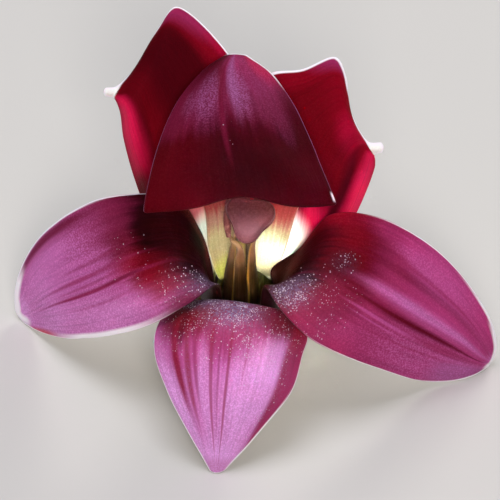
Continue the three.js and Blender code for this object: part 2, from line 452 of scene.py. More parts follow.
@dataclass(frozen=True)
class TepalSkin:
    """The inner face of a tepal: a satin, waxy epidermis over dark red flesh.

    The eye gets a soft gloss broken by fine lengthwise veins, painted glints in each cell, pigment
    that runs out in streaks along them, and a pale line where the epidermis ends at the margin.

    ramp holds its pigments, at places in millimetres from the receptacle, and the line
    begins at margin_from, counted likewise. streak_mm is how far the streaks run out.
    """

    ramp: tuple[tuple[float, Pigment], ...]
    stains: tuple[Stain, ...] = ()
    dust: tuple[Dusting, ...] = ()
    rims: tuple[PaleRim, ...] = ()
    vein_pigment: Pigment = Pigment.MAROON
    vein_strength: float = 0.22
    vein_count: float = 40.0
    streak_mm: float = 1.4
    glint_strength: float = 0.35
    margin: Pigment = Pigment.SHELL
    margin_width: float = 0.3
    margin_from: float = 0.0
    margin_blend: float = 6.0
    roughness: float = 0.5
    seed: float = 0.0

    def specks(self, paint: Paint, place: Socket, density: Socket, size_mm: float) -> Socket:
        """Scatters round specks, more of them where the density is high.

        Args:
            paint: The material.
            place: Object coordinates.
            density: The share of cells that hold a speck, from 0 to 1.
            size_mm: The distance between neighbouring cells.

        Returns:
            A mask of the specks.
        """
        cells = paint.add(
            "ShaderNodeTexVoronoi", {}, {"Vector": place, "Scale": cells_per_metre(size_mm)}
        )
        chance = paint.add("ShaderNodeSeparateColor", {}, {"Color": cells.outputs["Color"]})
        chosen = paint.add(
            "ShaderNodeMath", {"operation": "LESS_THAN"}, {0: chance.outputs[0], 1: density}
        )
        dot = paint.add(
            "ShaderNodeMapRange",
            {},
            {
                "Value": cells.outputs["Distance"],
                "From Min": 0.15,
                "From Max": 0.42,
                "To Min": 0.85,
                "To Max": 0.0,
            },
        )
        return paint.add(
            "ShaderNodeMath", {"operation": "MULTIPLY"}, {0: chosen.outputs[0], 1: dot.outputs[0]}
        ).outputs[0]

    def streaks(self, paint: Paint, skin: Socket, count: float, length_mm: float) -> Socket:
        """Draws noise that is drawn out along the tepal.

        Args:
            paint: The material.
            skin: Coordinates across and along the tepal.
            count: Streaks from margin to margin.
            length_mm: Each streak's length.

        Returns:
            The noise, from 0 to 1.
        """
        stretched = paint.add(
            "ShaderNodeMapping",
            {},
            {
                "Vector": skin,
                "Location": (self.seed, count, 0),
                "Scale": (count, SKIN_LENGTH / length_mm, 1),
            },
        ).outputs[0]
        return paint.add(
            "ShaderNodeTexNoise",
            {},
            {"Vector": stretched, "Scale": 1.0, "Detail": 3.0, "Roughness": 0.6},
        ).outputs["Fac"]

    def pigmented(self, paint: Paint, skin: Socket, cells: Socket) -> Socket:
        """Lays the pigments, from the claw to the tip.

        Args:
            paint: The material.
            skin: Coordinates across and along the tepal.
            cells: The fine noise of the epidermis cells.

        Returns:
            The colour.
        """
        # The pigment's borders run out along the veins, so the place along the tepal is shifted
        # by streaks a little wider and longer than the veins
        shift = paint.add(
            "ShaderNodeMapRange",
            {},
            {
                "Value": self.streaks(paint, skin, self.vein_count * 0.6, 33.3),
                "From Min": 0.25,
                "From Max": 0.75,
                "To Min": -self.streak_mm / SKIN_LENGTH,
                "To Max": self.streak_mm / SKIN_LENGTH,
            },
        )
        shift_along = paint.add("ShaderNodeCombineXYZ", {}, {"Y": shift.outputs[0]})
        streaky = paint.add(
            "ShaderNodeVectorMath", {"operation": "ADD"}, {0: skin, 1: shift_along.outputs[0]}
        ).outputs[0]
        colour = paint.pigments_along(streaky, self.ramp)
        for stain in self.stains:
            kept = stain.strength * (1 - stain.broken)
            colour = paint.tint(
                colour,
                linear(stain.pigment.value),
                cells,
                (0.44, 0.58),
                (kept, stain.strength),
                stain.spot.mask(paint, streaky),
            )
        return colour

    def dusted(
        self, paint: Paint, skin: Socket, place: Socket, colour: Socket
    ) -> tuple[Socket, Socket | None]:
        """Lays shed pollen on the pigment: a thin film, and drifts of grains of two sizes.

        Args:
            paint: The material.
            skin: Coordinates across and along the tepal.
            place: Object coordinates.
            colour: The colour under it.

        Returns:
            The colour, and a mask of the grains if there are any.
        """
        if not self.dust:
            return colour, None
        total: Socket | None = None
        for dusting in self.dust:
            mask = dusting.spot.mask(paint, skin)
            # Grains clump, so the film is broken up at about 0.4 mm
            clumps = paint.add(
                "ShaderNodeTexNoise",
                {},
                {"Vector": place, "Scale": cells_per_metre(0.4), "Detail": 3.0},
            ).outputs["Fac"]
            bloom = linear(Pigment.BLOOM.value)
            colour = paint.tint(colour, bloom, clumps, (0.3, 0.62), (0.0, dusting.film), mask)
            density = paint.add(
                "ShaderNodeMath", {"operation": "MULTIPLY"}, {0: mask, 1: dusting.density}
            ).outputs[0]
            if total is not None:
                density = paint.add(
                    "ShaderNodeMath", {"operation": "MAXIMUM"}, {0: total, 1: density}
                ).outputs[0]
            total = density
        # Drifts of grains lie about 2 mm apart
        drifts = paint.add(
            "ShaderNodeTexNoise", {}, {"Vector": place, "Scale": cells_per_metre(1.82), "Detail": 2.0}
        )
        drifted = paint.add(
            "ShaderNodeMapRange",
            {},
            {
                "Value": drifts.outputs["Fac"],
                "From Min": 0.38,
                "From Max": 0.66,
                "To Min": 0.15,
                "To Max": 2.2,
            },
        )
        total = paint.add(
            "ShaderNodeMath", {"operation": "MULTIPLY"}, {0: total, 1: drifted.outputs[0]}
        ).outputs[0]
        # Pollen grains are about 0.1 mm, so clusters of them are drawn, which show
        fine = self.specks(paint, place, total, 0.26)
        coarse = self.specks(paint, place, total, 0.42)
        grains = paint.add("ShaderNodeMath", {"operation": "MAXIMUM"}, {0: fine, 1: coarse}).outputs[0]
        colour = paint.add(
            "ShaderNodeMix",
            MIX_COLOUR,
            {"Factor": grains, "A": colour, "B": linear(Pigment.POLLEN.value)},
        ).outputs["Result"]
        return colour, grains

    def rimmed(self, paint: Paint, skin: Socket, colour: Socket) -> Socket:
        """Lays the colourless line along the margin, and its wider white stretches.

        Args:
            paint: The material.
            skin: Coordinates across and along the tepal.
            colour: The colour under it.

        Returns:
            The colour.
        """
        distance = paint.add("ShaderNodeAttribute", {"attribute_name": MARGIN}).outputs["Fac"]
        split = paint.add("ShaderNodeSeparateXYZ", {}, {"Vector": skin})
        begun = paint.add(
            "ShaderNodeMapRange",
            {"interpolation_type": "SMOOTHSTEP"},
            {
                "Value": split.outputs["Y"],
                "From Min": (self.margin_from - self.margin_blend) / SKIN_LENGTH,
                "From Max": (self.margin_from + self.margin_blend) / SKIN_LENGTH,
                "To Min": 0.0,
                "To Max": 0.9,
            },
        ).outputs[0]
        lines = [(begun, self.margin_width, self.margin)]
        lines += [
            (rim.spot.mask(paint, skin), self.margin_width + rim.extra_mm, Pigment.SHELL)
            for rim in self.rims
        ]
        for mask, width, pigment in lines:
            edge = (width * 0.75, width * 1.25)
            colour = paint.tint(colour, linear(pigment.value), distance, edge, (1.0, 0.0), mask)
        return colour

    def material(self, name: str) -> bpy.types.Material:
        """Builds the material.

        Args:
            name: The material's name.

        Returns:
            The material.
        """
        paint = Paint(name)
        skin = paint.add("ShaderNodeUVMap", {"uv_map": SKIN_UV}).outputs[0]
        place = paint.add("ShaderNodeTexCoord").outputs["Object"]
        # Epidermis cells, drawn at 0.35 mm, several times coarser than real, so that they show
        cells = paint.add(
            "ShaderNodeTexNoise",
            {},
            {"Vector": place, "Scale": cells_per_metre(0.345), "Detail": 2.0, "Roughness": 0.7},
        ).outputs["Fac"]
        colour = self.pigmented(paint, skin, cells)

        # Veins, about as many as a tepal has, in stretches of 20 mm
        veins = self.streaks(paint, skin, self.vein_count, 20.0)
        vein_colour = linear(self.vein_pigment.value)
        colour = paint.tint(colour, vein_colour, veins, (0.45, 0.7), (0.0, self.vein_strength))

        # Painted highlight: each cell glints in a brighter copy of its own pigment's colour
        painted_glint = paint.add(
            "ShaderNodeHueSaturation", {}, {"Saturation": 0.95, "Value": 1.7, "Color": colour}
        ).outputs[0]
        colour = paint.tint(colour, painted_glint, cells, (0.48, 0.66), (0.0, self.glint_strength))
        colour, grains = self.dusted(paint, skin, place, colour)
        colour = self.rimmed(paint, skin, colour)

        height = paint.add(
            "ShaderNodeMath", {"operation": "MULTIPLY_ADD"}, {0: cells, 1: 0.5, 2: veins}
        ).outputs[0]
        if grains is not None:
            height = paint.add(
                "ShaderNodeMath", {"operation": "MULTIPLY_ADD"}, {0: grains, 1: 0.6, 2: height}
            ).outputs[0]
        bump = paint.add(
            "ShaderNodeBump", {}, {"Height": height, "Strength": 0.45, "Distance": 0.25 * MM}
        )
        gloss = paint.add(
            "ShaderNodeMapRange",
            {},
            {
                "Value": cells,
                "From Min": 0.3,
                "From Max": 0.7,
                "To Min": self.roughness - 0.06,
                "To Max": self.roughness + 0.1,
            },
        )
        flesh = paint.add(
            "ShaderNodeBsdfPrincipled",
            {},
            {
                "Base Color": colour,
                "Roughness": gloss.outputs[0],
                "IOR": 1.4,
                "Specular IOR Level": 0.03,
                "Specular Tint": linear("#e890a4"),
                "Subsurface Weight": 0.3,
                "Subsurface Radius": (1.0, 0.5, 0.45),
                "Subsurface Scale": 1.2 * MM,
                "Normal": bump.outputs[0],
            },
        )
        return paint.finish(flesh.outputs[0])


@dataclass(frozen=True)
class TepalBack:
    """The outer face of a tepal: a pale, waxy epidermis.

    The eye gets cream-white with a green foot, rosy streaks that thicken towards the limb, and a soft
    gloss. claw is the colour of the middle stretch; where that stretch lies in shadow it is set dark,
    as painted shade.
    """

    blush: float = 0.5
    claw: Pigment = Pigment.CREAM
    seed: float = 0.0

    def material(self, name: str) -> bpy.types.Material:
        """Builds the material.

        Args:
            name: The material's name.

        Returns:
            The material.
        """
        paint = Paint(name)
        skin = paint.add("ShaderNodeUVMap", {"uv_map": SKIN_UV}).outputs[0]
        place = paint.add("ShaderNodeTexCoord").outputs["Object"]
        split = paint.add("ShaderNodeSeparateXYZ", {}, {"Vector": skin})
        ramp = paint.add("ShaderNodeValToRGB", {}, {"Fac": split.outputs["Y"]})
        fill_ramp(
            ramp.color_ramp,
            [
                (0.0, "#8fa552"),
                (0.16, "#c3cc92"),
                (0.34, self.claw.value),
                (0.6, self.claw.value),
                (0.68, "#f1e2dc"),
                (0.9, "#efe9e4"),
            ],
        )
        # Rosy veins: 26 from margin to margin, in stretches of about 45 mm
        vein_place = paint.add(
            "ShaderNodeMapping",
            {},
            {
                "Vector": skin,
                "Location": (self.seed, 7, 0),
                "Scale": (26.0, SKIN_LENGTH / 45.5, 1),
            },
        ).outputs[0]
        veins = paint.add(
            "ShaderNodeTexNoise", {}, {"Vector": vein_place, "Scale": 1.0, "Detail": 3.0}
        ).outputs["Fac"]
        towards_limb = paint.add(
            "ShaderNodeMapRange",
            {"interpolation_type": "SMOOTHSTEP"},
            {
                "Value": split.outputs["Y"],
                "From Min": 0.5,
                "From Max": 0.78,
                "To Min": 0.0,
                "To Max": self.blush,
            },
        ).outputs[0]
        colour = paint.tint(
            ramp.outputs["Color"], linear("#a83a54"), veins, (0.42, 0.68), (0.0, 1.0), towards_limb
        )
        # Epidermis cells, drawn at 0.4 mm, several times coarser than real, so that they show
        cells = paint.add(
            "ShaderNodeTexNoise", {}, {"Vector": place, "Scale": cells_per_metre(0.4), "Detail": 2.0}
        )
        height = paint.add(
            "ShaderNodeMath",
            {"operation": "MULTIPLY_ADD"},
            {0: cells.outputs["Fac"], 1: 0.3, 2: veins},
        ).outputs[0]
        bump = paint.add(
            "ShaderNodeBump", {}, {"Height": height, "Strength": 0.4, "Distance": 0.25 * MM}
        )
        flesh = paint.add(
            "ShaderNodeBsdfPrincipled",
            {},
            {
                "Base Color": colour,
                "Roughness": 0.45,
                "IOR": 1.42,
                "Specular IOR Level": 0.15,
                "Subsurface Weight": 0.35,
                "Subsurface Radius": (1.0, 0.7, 0.5),
                "Subsurface Scale": 1.2 * MM,
                "Normal": bump.outputs[0],
            },
        )
        return paint.finish(flesh.outputs[0])


@dataclass(frozen=True)
class TepalEdge:
    """The margin of a tepal: fleshy and nearly colourless, so it reads as a white line.

    ramp holds its pigments, at places in millimetres from the receptacle.
    """

    ramp: tuple[tuple[float, Pigment], ...] = ((45, Pigment.CREAM), (55, Pigment.SHELL))

    def material(self, name: str) -> bpy.types.Material:
        """Builds the material.

        Args:
            name: The material's name.

        Returns:
            The material.
        """
        paint = Paint(name)
        skin = paint.add("ShaderNodeUVMap", {"uv_map": SKIN_UV}).outputs[0]
        place = paint.add("ShaderNodeTexCoord").outputs["Object"]
        colour = paint.pigments_along(skin, self.ramp)
        # Flushed patches about 3 mm across
        mottle = paint.add(
            "ShaderNodeTexNoise", {}, {"Vector": place, "Scale": cells_per_metre(2.86), "Detail": 3.0}
        ).outputs["Fac"]
        colour = paint.tint(colour, linear("#c98fae"), mottle, (0.52, 0.8), (0.0, 0.15))
        flesh = paint.add(
            "ShaderNodeBsdfPrincipled",
            {},
            {
                "Base Color": colour,
                "Roughness": 0.4,
                "IOR": 1.42,
                "Subsurface Weight": 0.3,
                "Subsurface Radius": (1.0, 0.8, 0.8),
                "Subsurface Scale": 0.8 * MM,
            },
        )
        return paint.finish(flesh.outputs[0])


@dataclass(frozen=True)
class Ridge:
    """A lengthwise ridge on a tepal's inner face, or a groove if its height is negative.

    across_from and across_to give its place at its two ends, start and end are in
    millimetres from the receptacle, and half_width is a share of the tepal's width.
    """

    across_from: float
    across_to: float
    start: float
    end: float
    height: float
    half_width: float

    def rise(self, u: float, v_mm: float) -> float:
        """Gives its height at a place on the tepal.

        Args:
            u: The place across, from 0 to 1.
            v_mm: The place along, in millimetres from the receptacle.

        Returns:
            The height in millimetres.
        """
        share = min(max((v_mm - self.start) / (self.end - self.start), 0.0), 1.0)
        middle = self.across_from + (self.across_to - self.across_from) * share
        fade = math.sin(math.pi * share) ** 0.5 if 0 < share < 1 else 0.0
        return self.height * fade * math.exp(-(((u - middle) / self.half_width) ** 2))


@dataclass(frozen=True)
class TubeRing:
    """A ring of the flower's tube.

    y and z are its middle, dip is how many degrees the tube points down there, and outer and
    inner are the radii on which the two whorls stand.
    """

    y: float
    z: float
    dip: float
    outer: float
    inner: float

    def point(self, radius: float, angle: float) -> Vector:
        """Finds a point on the ring.

        Args:
            radius: Its distance from the ring's middle.
            angle: Its angle in degrees, counted from the viewer's right.

        Returns:
            The point.
        """
        rise = radius * math.sin(math.radians(angle))
        dip = math.radians(self.dip)
        across = radius * math.cos(math.radians(angle))
        return Vector((across, self.y + rise * math.cos(dip), self.z + rise * math.sin(dip)))

    def axis(self) -> Vector:
        """Gives the direction of the tube, towards the mouth."""
        dip = math.radians(self.dip)
        return Vector((0, -math.sin(dip), math.cos(dip)))


# The tube, from the receptacle towards the mouth
TUBE = (
    TubeRing(y=10, z=-55, dip=27, outer=5.6, inner=4.1),
    TubeRing(y=3.4, z=-41.5, dip=24, outer=7.4, inner=5.8),
    TubeRing(y=-2, z=-28, dip=18, outer=9.4, inner=7.0),
)
# Half the angle that a tepal's base takes of the tube, in degrees
HALF_ANGLE = {Whorl.OUTER: 57.0, Whorl.INNER: 52.0}


@dataclass
class Tepal:
    """One tepal, from the receptacle to its tip: a sheet laid through rows of points.

    A row holds a point on one margin, on the midrib and on the other margin, or five
    points where the tepal is folded. around is where its base stands on the tube, in
    degrees from the viewer's right. ripple is how high its limb's waves stand, ripple_size
    their width, ripple_from where they begin and where they are full, and ripple_step how
    far apart two tepals read the same noise, all in millimetres.
    """

    name: str
    whorl: Whorl
    around: float
    rows: tuple[Row, ...]
    skin: TepalSkin
    back: TepalBack
    edge: TepalEdge
    ridges: tuple[Ridge, ...] = ()
    thickness: float = 0.85
    ripple: float = 0.24
    ripple_size: float = 7.0
    ripple_from: tuple[float, float] = (40, 55)
    ripple_step: float = 40.0
    margin_samples: int = 1500
    tip_samples: int = 50
    steps_across: int = 30
    steps_along: int = 132
    seed: float = 0.0

    def full_row(self, row: Row) -> list[Vector]:
        """Gives a row its quarter points, from the parabola through its three points.

        Args:
            row: Its three points, or five already.

        Returns:
            Its five points.
        """
        points = [Vector(point) for point in row]
        if len(points) == len(PLACES_ACROSS):
            return points
        first, midrib, second = points

        def on_parabola(side: float) -> Vector:
            """Finds a point of the parabola.

            Args:
                side: The place across the row, from -1 to 1.

            Returns:
                The point.
            """
            near = first * (side * (side - 1) / 2)
            far = second * (side * (side + 1) / 2)
            return near + midrib * (1 - side * side) + far

        return [first, on_parabola(-0.5), midrib, on_parabola(0.5), second]

    def lines(self) -> list[SmoothLine]:
        """Lays the lines that run along the tepal.

        Returns:
            The five lines, from one margin to the other.
        """
        half = HALF_ANGLE[self.whorl]
        rows = [
            [
                ring.point(getattr(ring, self.whorl.value), self.around + side * half)
                for side in PLACES_ACROSS
            ]
            for ring in TUBE
        ]
        rows += [self.full_row(row) for row in self.rows]
        return [SmoothLine(row[line] for row in rows) for line in range(len(PLACES_ACROSS))]

    def build(self) -> bpy.types.Object:
        """Builds the tepal's sheet, with its thickness still a modifier.

        Returns:
            The object.
        """
        # The grid is one wide and one long, and its points are then laid across the lines
        sheet = bmesh.new()
        skin = sheet.loops.layers.uv.new(SKIN_UV)
        margin = sheet.verts.layers.float.new(MARGIN)
        bmesh.ops.create_grid(
            sheet, x_segments=self.steps_across, y_segments=self.steps_along, size=0.5
        )
        lines = self.lines()
        columns: dict[int, list[bmesh.types.BMVert]] = {}
        for vertex in sheet.verts:
            columns.setdefault(round((vertex.co.y + 0.5) * self.steps_along), []).append(vertex)
        place: dict[bmesh.types.BMVert, tuple[float, float]] = {}
        length = 0.0
        middle = None
        outline = self.outline(lines)
        for index in sorted(columns):
            v = index / self.steps_along
            cross = SmoothLine(line.at(v) for line in lines)
            here = cross.at(0.5)
            length += (here - middle).length if middle is not None else 0.0
            middle = here
            row = sorted(columns[index], key=lambda vertex: -vertex.co.x)
            across = [cross.at(0.5 - vertex.co.x) for vertex in row]
            for vertex, point in zip(row, across):
                place[vertex] = (0.5 - vertex.co.x, length)
                vertex[margin] = outline.find(point)[2]
                vertex.co = point
        sheet.normal_update()
        moves = [self.relief(*place[vertex], vertex.co) for vertex in sheet.verts]
        for vertex, move in zip(sheet.verts, moves):
            vertex.co += vertex.normal * move
        for face in sheet.faces:
            face.smooth = True
            for loop in face.loops:
                u, v_mm = place[loop.vert]
                loop[skin].uv = (u, v_mm / SKIN_LENGTH)
        return self.finish_sheet(sheet)

    def outline(self, lines: Sequence[SmoothLine]) -> kdtree.KDTree:
        """Samples both margins and the tip, to measure distances from them.

        Args:
            lines: The five lines that run along the tepal.

        Returns:
            The points, ready to be searched.
        """
        tip = SmoothLine(line.at(1) for line in lines)
        points = [
            line.at(step / self.margin_samples)
            for line in (lines[0], lines[-1])
            for step in range(self.margin_samples + 1)
        ]
        points += [tip.at(step / self.tip_samples) for step in range(self.tip_samples + 1)]
        tree = kdtree.KDTree(len(points))
        for index, point in enumerate(points):
            tree.insert(point, index)
        tree.balance()
        return tree

    def relief(self, u: float, v_mm: float, point: Vector) -> float:
        """Gives how far the inner face stands off the plain sheet.

        Args:
            u: The place across, from 0 to 1.
            v_mm: The place along, in millimetres from the receptacle.
            point: The place in the flower's frame.

        Returns:
            The height in millimetres, towards the viewer.
        """
        ridges = sum(ridge.rise(u, v_mm) for ridge in self.ridges)
        depth = point.z + self.seed * self.ripple_step
        spot = Vector((point.x, point.y, depth)) / self.ripple_size
        limb = smooth_step(*self.ripple_from, v_mm)
        return ridges + self.ripple * limb * noise.noise(spot)

    def finish_sheet(self, sheet: bmesh.types.BMesh) -> bpy.types.Object:
        """Puts the sheet in place, gives it its thickness and dresses it.

        Args:
            sheet: The sheet in the flower's frame.

        Returns:
            The object.
        """
        piece = piece_from(f"{self.name}_flesh", sheet)
        wall = piece.modifiers.new("flesh", "SOLIDIFY")
        wall.thickness = self.thickness * MM
        # Half the thickness stands on each side of the sheet
        wall.offset = 0
        # The sheet's own faces have the skin, its other side the back, and the rim the edge
        wall.material_offset = 1
        wall.material_offset_rim = 2
        finishes = {"skin": self.skin, "back": self.back, "edge": self.edge}
        materials = [finish.material(f"{part} of {self.name}") for part, finish in finishes.items()]
        dress(piece, materials, self.name)
        return piece


def piece_from(name: str, shape: bmesh.types.BMesh) -> bpy.types.Object:
    """Makes an object from a shape in the flower's frame, placed in the row frame.

    Args:
        name: The object's name.
        shape: The shape, which is freed.

    Returns:
        The object, at the origin.
    """
    bmesh.ops.transform(shape, matrix=FlowerFrame().to_row(), verts=shape.verts)
    mesh = bpy.data.meshes.new(name)
    shape.to_mesh(mesh)
    shape.free()
    piece = bpy.data.objects.new(name, mesh)
    bpy.context.scene.collection.objects.link(piece)
    return piece


def dress(
    piece: bpy.types.Object, materials: Sequence[bpy.types.Material], node: str
) -> None:
    """Gives a piece its materials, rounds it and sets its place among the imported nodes.

    Args:
        piece: The piece.
        materials: Its materials, in the order of its faces' material numbers.
        node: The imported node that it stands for.
    """
    for material in materials:
        piece.data.materials.append(material)
    round_off = piece.modifiers.new("round", "SUBSURF")
    round_off.levels = ROUNDING
    round_off.render_levels = ROUNDING
    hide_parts(node)
    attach(piece, "root")


@dataclass
class Perianth:
    """The six tepals, in an outer and an inner ring of three."""

    tepals: tuple[Tepal, ...]

    def build(self) -> list[bpy.types.Object]:
        """Builds every tepal, with its thickness and rounding still modifiers."""
        return [tepal.build() for tepal in self.tepals]


def rolled_tube(
    name: str,
    line: SmoothLine,
    section: Callable[[float, float], tuple[float, float]],
    round_steps: int,
    long_steps: int,
) -> bpy.types.Object:
    """Rolls a grid into a closed tube along a line.

    Args:
        name: The object's name.
        line: The tube's centre line in the flower's frame.
        section: For a place along and an angle, the offset to the side and to the front.
        round_steps: Faces round the tube.
        long_steps: Faces along it.

    Returns:
        The object, with its UV map across and along.
    """
    # The grid's first and last rows shrink to the line and close the tube's ends
    last_row = long_steps + 2
    tube = bmesh.new()
    skin = tube.loops.layers.uv.new(SKIN_UV)
    bmesh.ops.create_grid(tube, x_segments=round_steps, y_segments=last_row, size=0.5)
    place: dict[bmesh.types.BMVert, tuple[float, float]] = {}
    for vertex in tube.verts:
        turn = vertex.co.x + 0.5
        row = round((vertex.co.y + 0.5) * last_row)
        t = min(max((row - 1) / long_steps, 0.0), 1.0)
        heading = line.heading(t)
        side = (Vector((1, 0, 0)) - heading * heading.x).normalized()
        front = side.cross(heading)
        out = section(t, 2 * math.pi * turn) if 0 < row < last_row else (0.0, 0.0)
        place[vertex] = (turn, t)
        vertex.co = line.at(t) + side * out[0] + front * out[1]
    for face in tube.faces:
        face.smooth = True
        for loop in face.loops:
            loop[skin].uv = place[loop.vert]
    bmesh.ops.remove_doubles(tube, verts=tube.verts, dist=WELD)
    bmesh.ops.recalc_face_normals(tube, faces=tube.faces)
    return piece_from(name, tube)


# The style's middle line, from the tube's first ring to just under the stigma
COLUMN_LINE = (
    (0, 10, -55),
    (0, 3, -41),
    (-1, -1.8, -28),
    (-1, 1.8, -20),
    (-0.9, 6, -13.5),
    (-0.6, 9.6, -7),
)
# How far the style and the stalk each stay from the tube's first ring, in millimetres
SEAT_GAP = 0.3


def column_points() -> list[Vector]:
    """Gives the style's middle line, which starts a small gap in front of the receptacle.

    Returns:
        Its points.
    """
    points = [Vector(point) for point in COLUMN_LINE]
    points[0] += TUBE[0].axis() * SEAT_GAP
    return points


@dataclass(frozen=True)
class FilamentFlesh:
    """A fleshy stamen stalk, green at its foot and dark brown in the throat.

    The eye gets satin flesh with fine lengthwise fibres and a dull golden line at each edge.
    """

    def material(self, name: str) -> bpy.types.Material:
        """Builds the material.

        Args:
            name: The material's name.

        Returns:
            The material.
        """
        paint = Paint(name)
        skin = paint.add("ShaderNodeUVMap", {"uv_map": SKIN_UV}).outputs[0]
        split = paint.add("ShaderNodeSeparateXYZ", {}, {"Vector": skin})
        ramp = paint.add("ShaderNodeValToRGB", {}, {"Fac": split.outputs["Y"]})
        fill_ramp(
            ramp.color_ramp,
            [
                (0.0, "#b9bd74"),
                (0.3, "#5c5626"),
                (0.42, "#0e0503"),
                (0.57, "#180a04"),
                (0.66, "#3a2010"),
                (0.75, "#6e4c34"),
                (0.85, "#8a6a4e"),
            ],
        )
        # The edges of the strap lie where the turn round it has a cosine of 1 or -1
        turn = paint.add(
            "ShaderNodeMath", {"operation": "MULTIPLY"}, {0: split.outputs["X"], 1: 2 * math.pi}
        )
        swing = paint.add("ShaderNodeMath", {"operation": "COSINE"}, {0: turn.outputs[0]})
        size = paint.add("ShaderNodeMath", {"operation": "ABSOLUTE"}, {0: swing.outputs[0]})
        edge = paint.add(
            "ShaderNodeMapRange",
            {"interpolation_type": "SMOOTHSTEP"},
            {
                "Value": size.outputs[0],
                "From Min": 0.91,
                "From Max": 0.99,
                "To Min": 0.0,
                "To Max": 0.5,
            },
        ).outputs[0]
        # Fibres: 40 round the strap, each a fifth of its length
        fibres_place = paint.add("ShaderNodeMapping", {}, {"Vector": skin, "Scale": (40.0, 5.0, 1)})
        fibres = paint.add(
            "ShaderNodeTexNoise", {}, {"Vector": fibres_place.outputs[0], "Scale": 1.0, "Detail": 3.0}
        ).outputs["Fac"]
        colour = ramp.outputs["Color"]
        colour = paint.tint(colour, linear("#a8784a"), fibres, (0.4, 0.75), (0.0, 0.04))
        colour = paint.add(
            "ShaderNodeMix", MIX_COLOUR, {"Factor": edge, "A": colour, "B": linear("#a8843c")}
        ).outputs["Result"]
        bump = paint.add(
            "ShaderNodeBump", {}, {"Height": fibres, "Strength": 0.4, "Distance": 0.2 * MM}
        )
        flesh = paint.add(
            "ShaderNodeBsdfPrincipled",
            {},
            {
                "Base Color": colour,
                "Roughness": 0.38,
                "IOR": 1.42,
                "Specular IOR Level": 0.15,
                "Subsurface Weight": 0.2,
                "Subsurface Radius": (1.0, 0.6, 0.3),
                "Subsurface Scale": 0.8 * MM,
                "Normal": bump.outputs[0],
            },
        )
        return paint.finish(flesh.outputs[0])


@dataclass(frozen=True)
class AntherCoat:
    """A ripe anther: brown-red walls dusted with pale pollen, dull and granular."""

    def material(self, name: str) -> bpy.types.Material:
        """Builds the material.

        Args:
            name: The material's name.

        Returns:
            The material.
        """
        paint = Paint(name)
        place = paint.add("ShaderNodeTexCoord").outputs["Object"]
        # Pollen grains are about 0.1 mm, and are drawn at 0.35 mm so that they show
        grain = paint.add(
            "ShaderNodeTexVoronoi", {}, {"Vector": place, "Scale": cells_per_metre(0.35)}
        ).outputs["Distance"]
        mottle = paint.add(
            "ShaderNodeTexNoise", {}, {"Vector": place, "Scale": cells_per_metre(1.11), "Detail": 3.0}
        ).outputs["Fac"]
        colour = paint.tint(linear("#5a1a18"), linear("#8e5a54"), mottle, (0.48, 0.66), (0.0, 0.7))
        bump = paint.add(
            "ShaderNodeBump", {}, {"Height": grain, "Strength": 0.7, "Distance": 0.2 * MM}
        )
        coat = paint.add(
            "ShaderNodeBsdfPrincipled",
            {},
            {"Base Color": colour, "Roughness": 0.75, "Normal": bump.outputs[0]},
        )
        return paint.finish(coat.outputs[0])


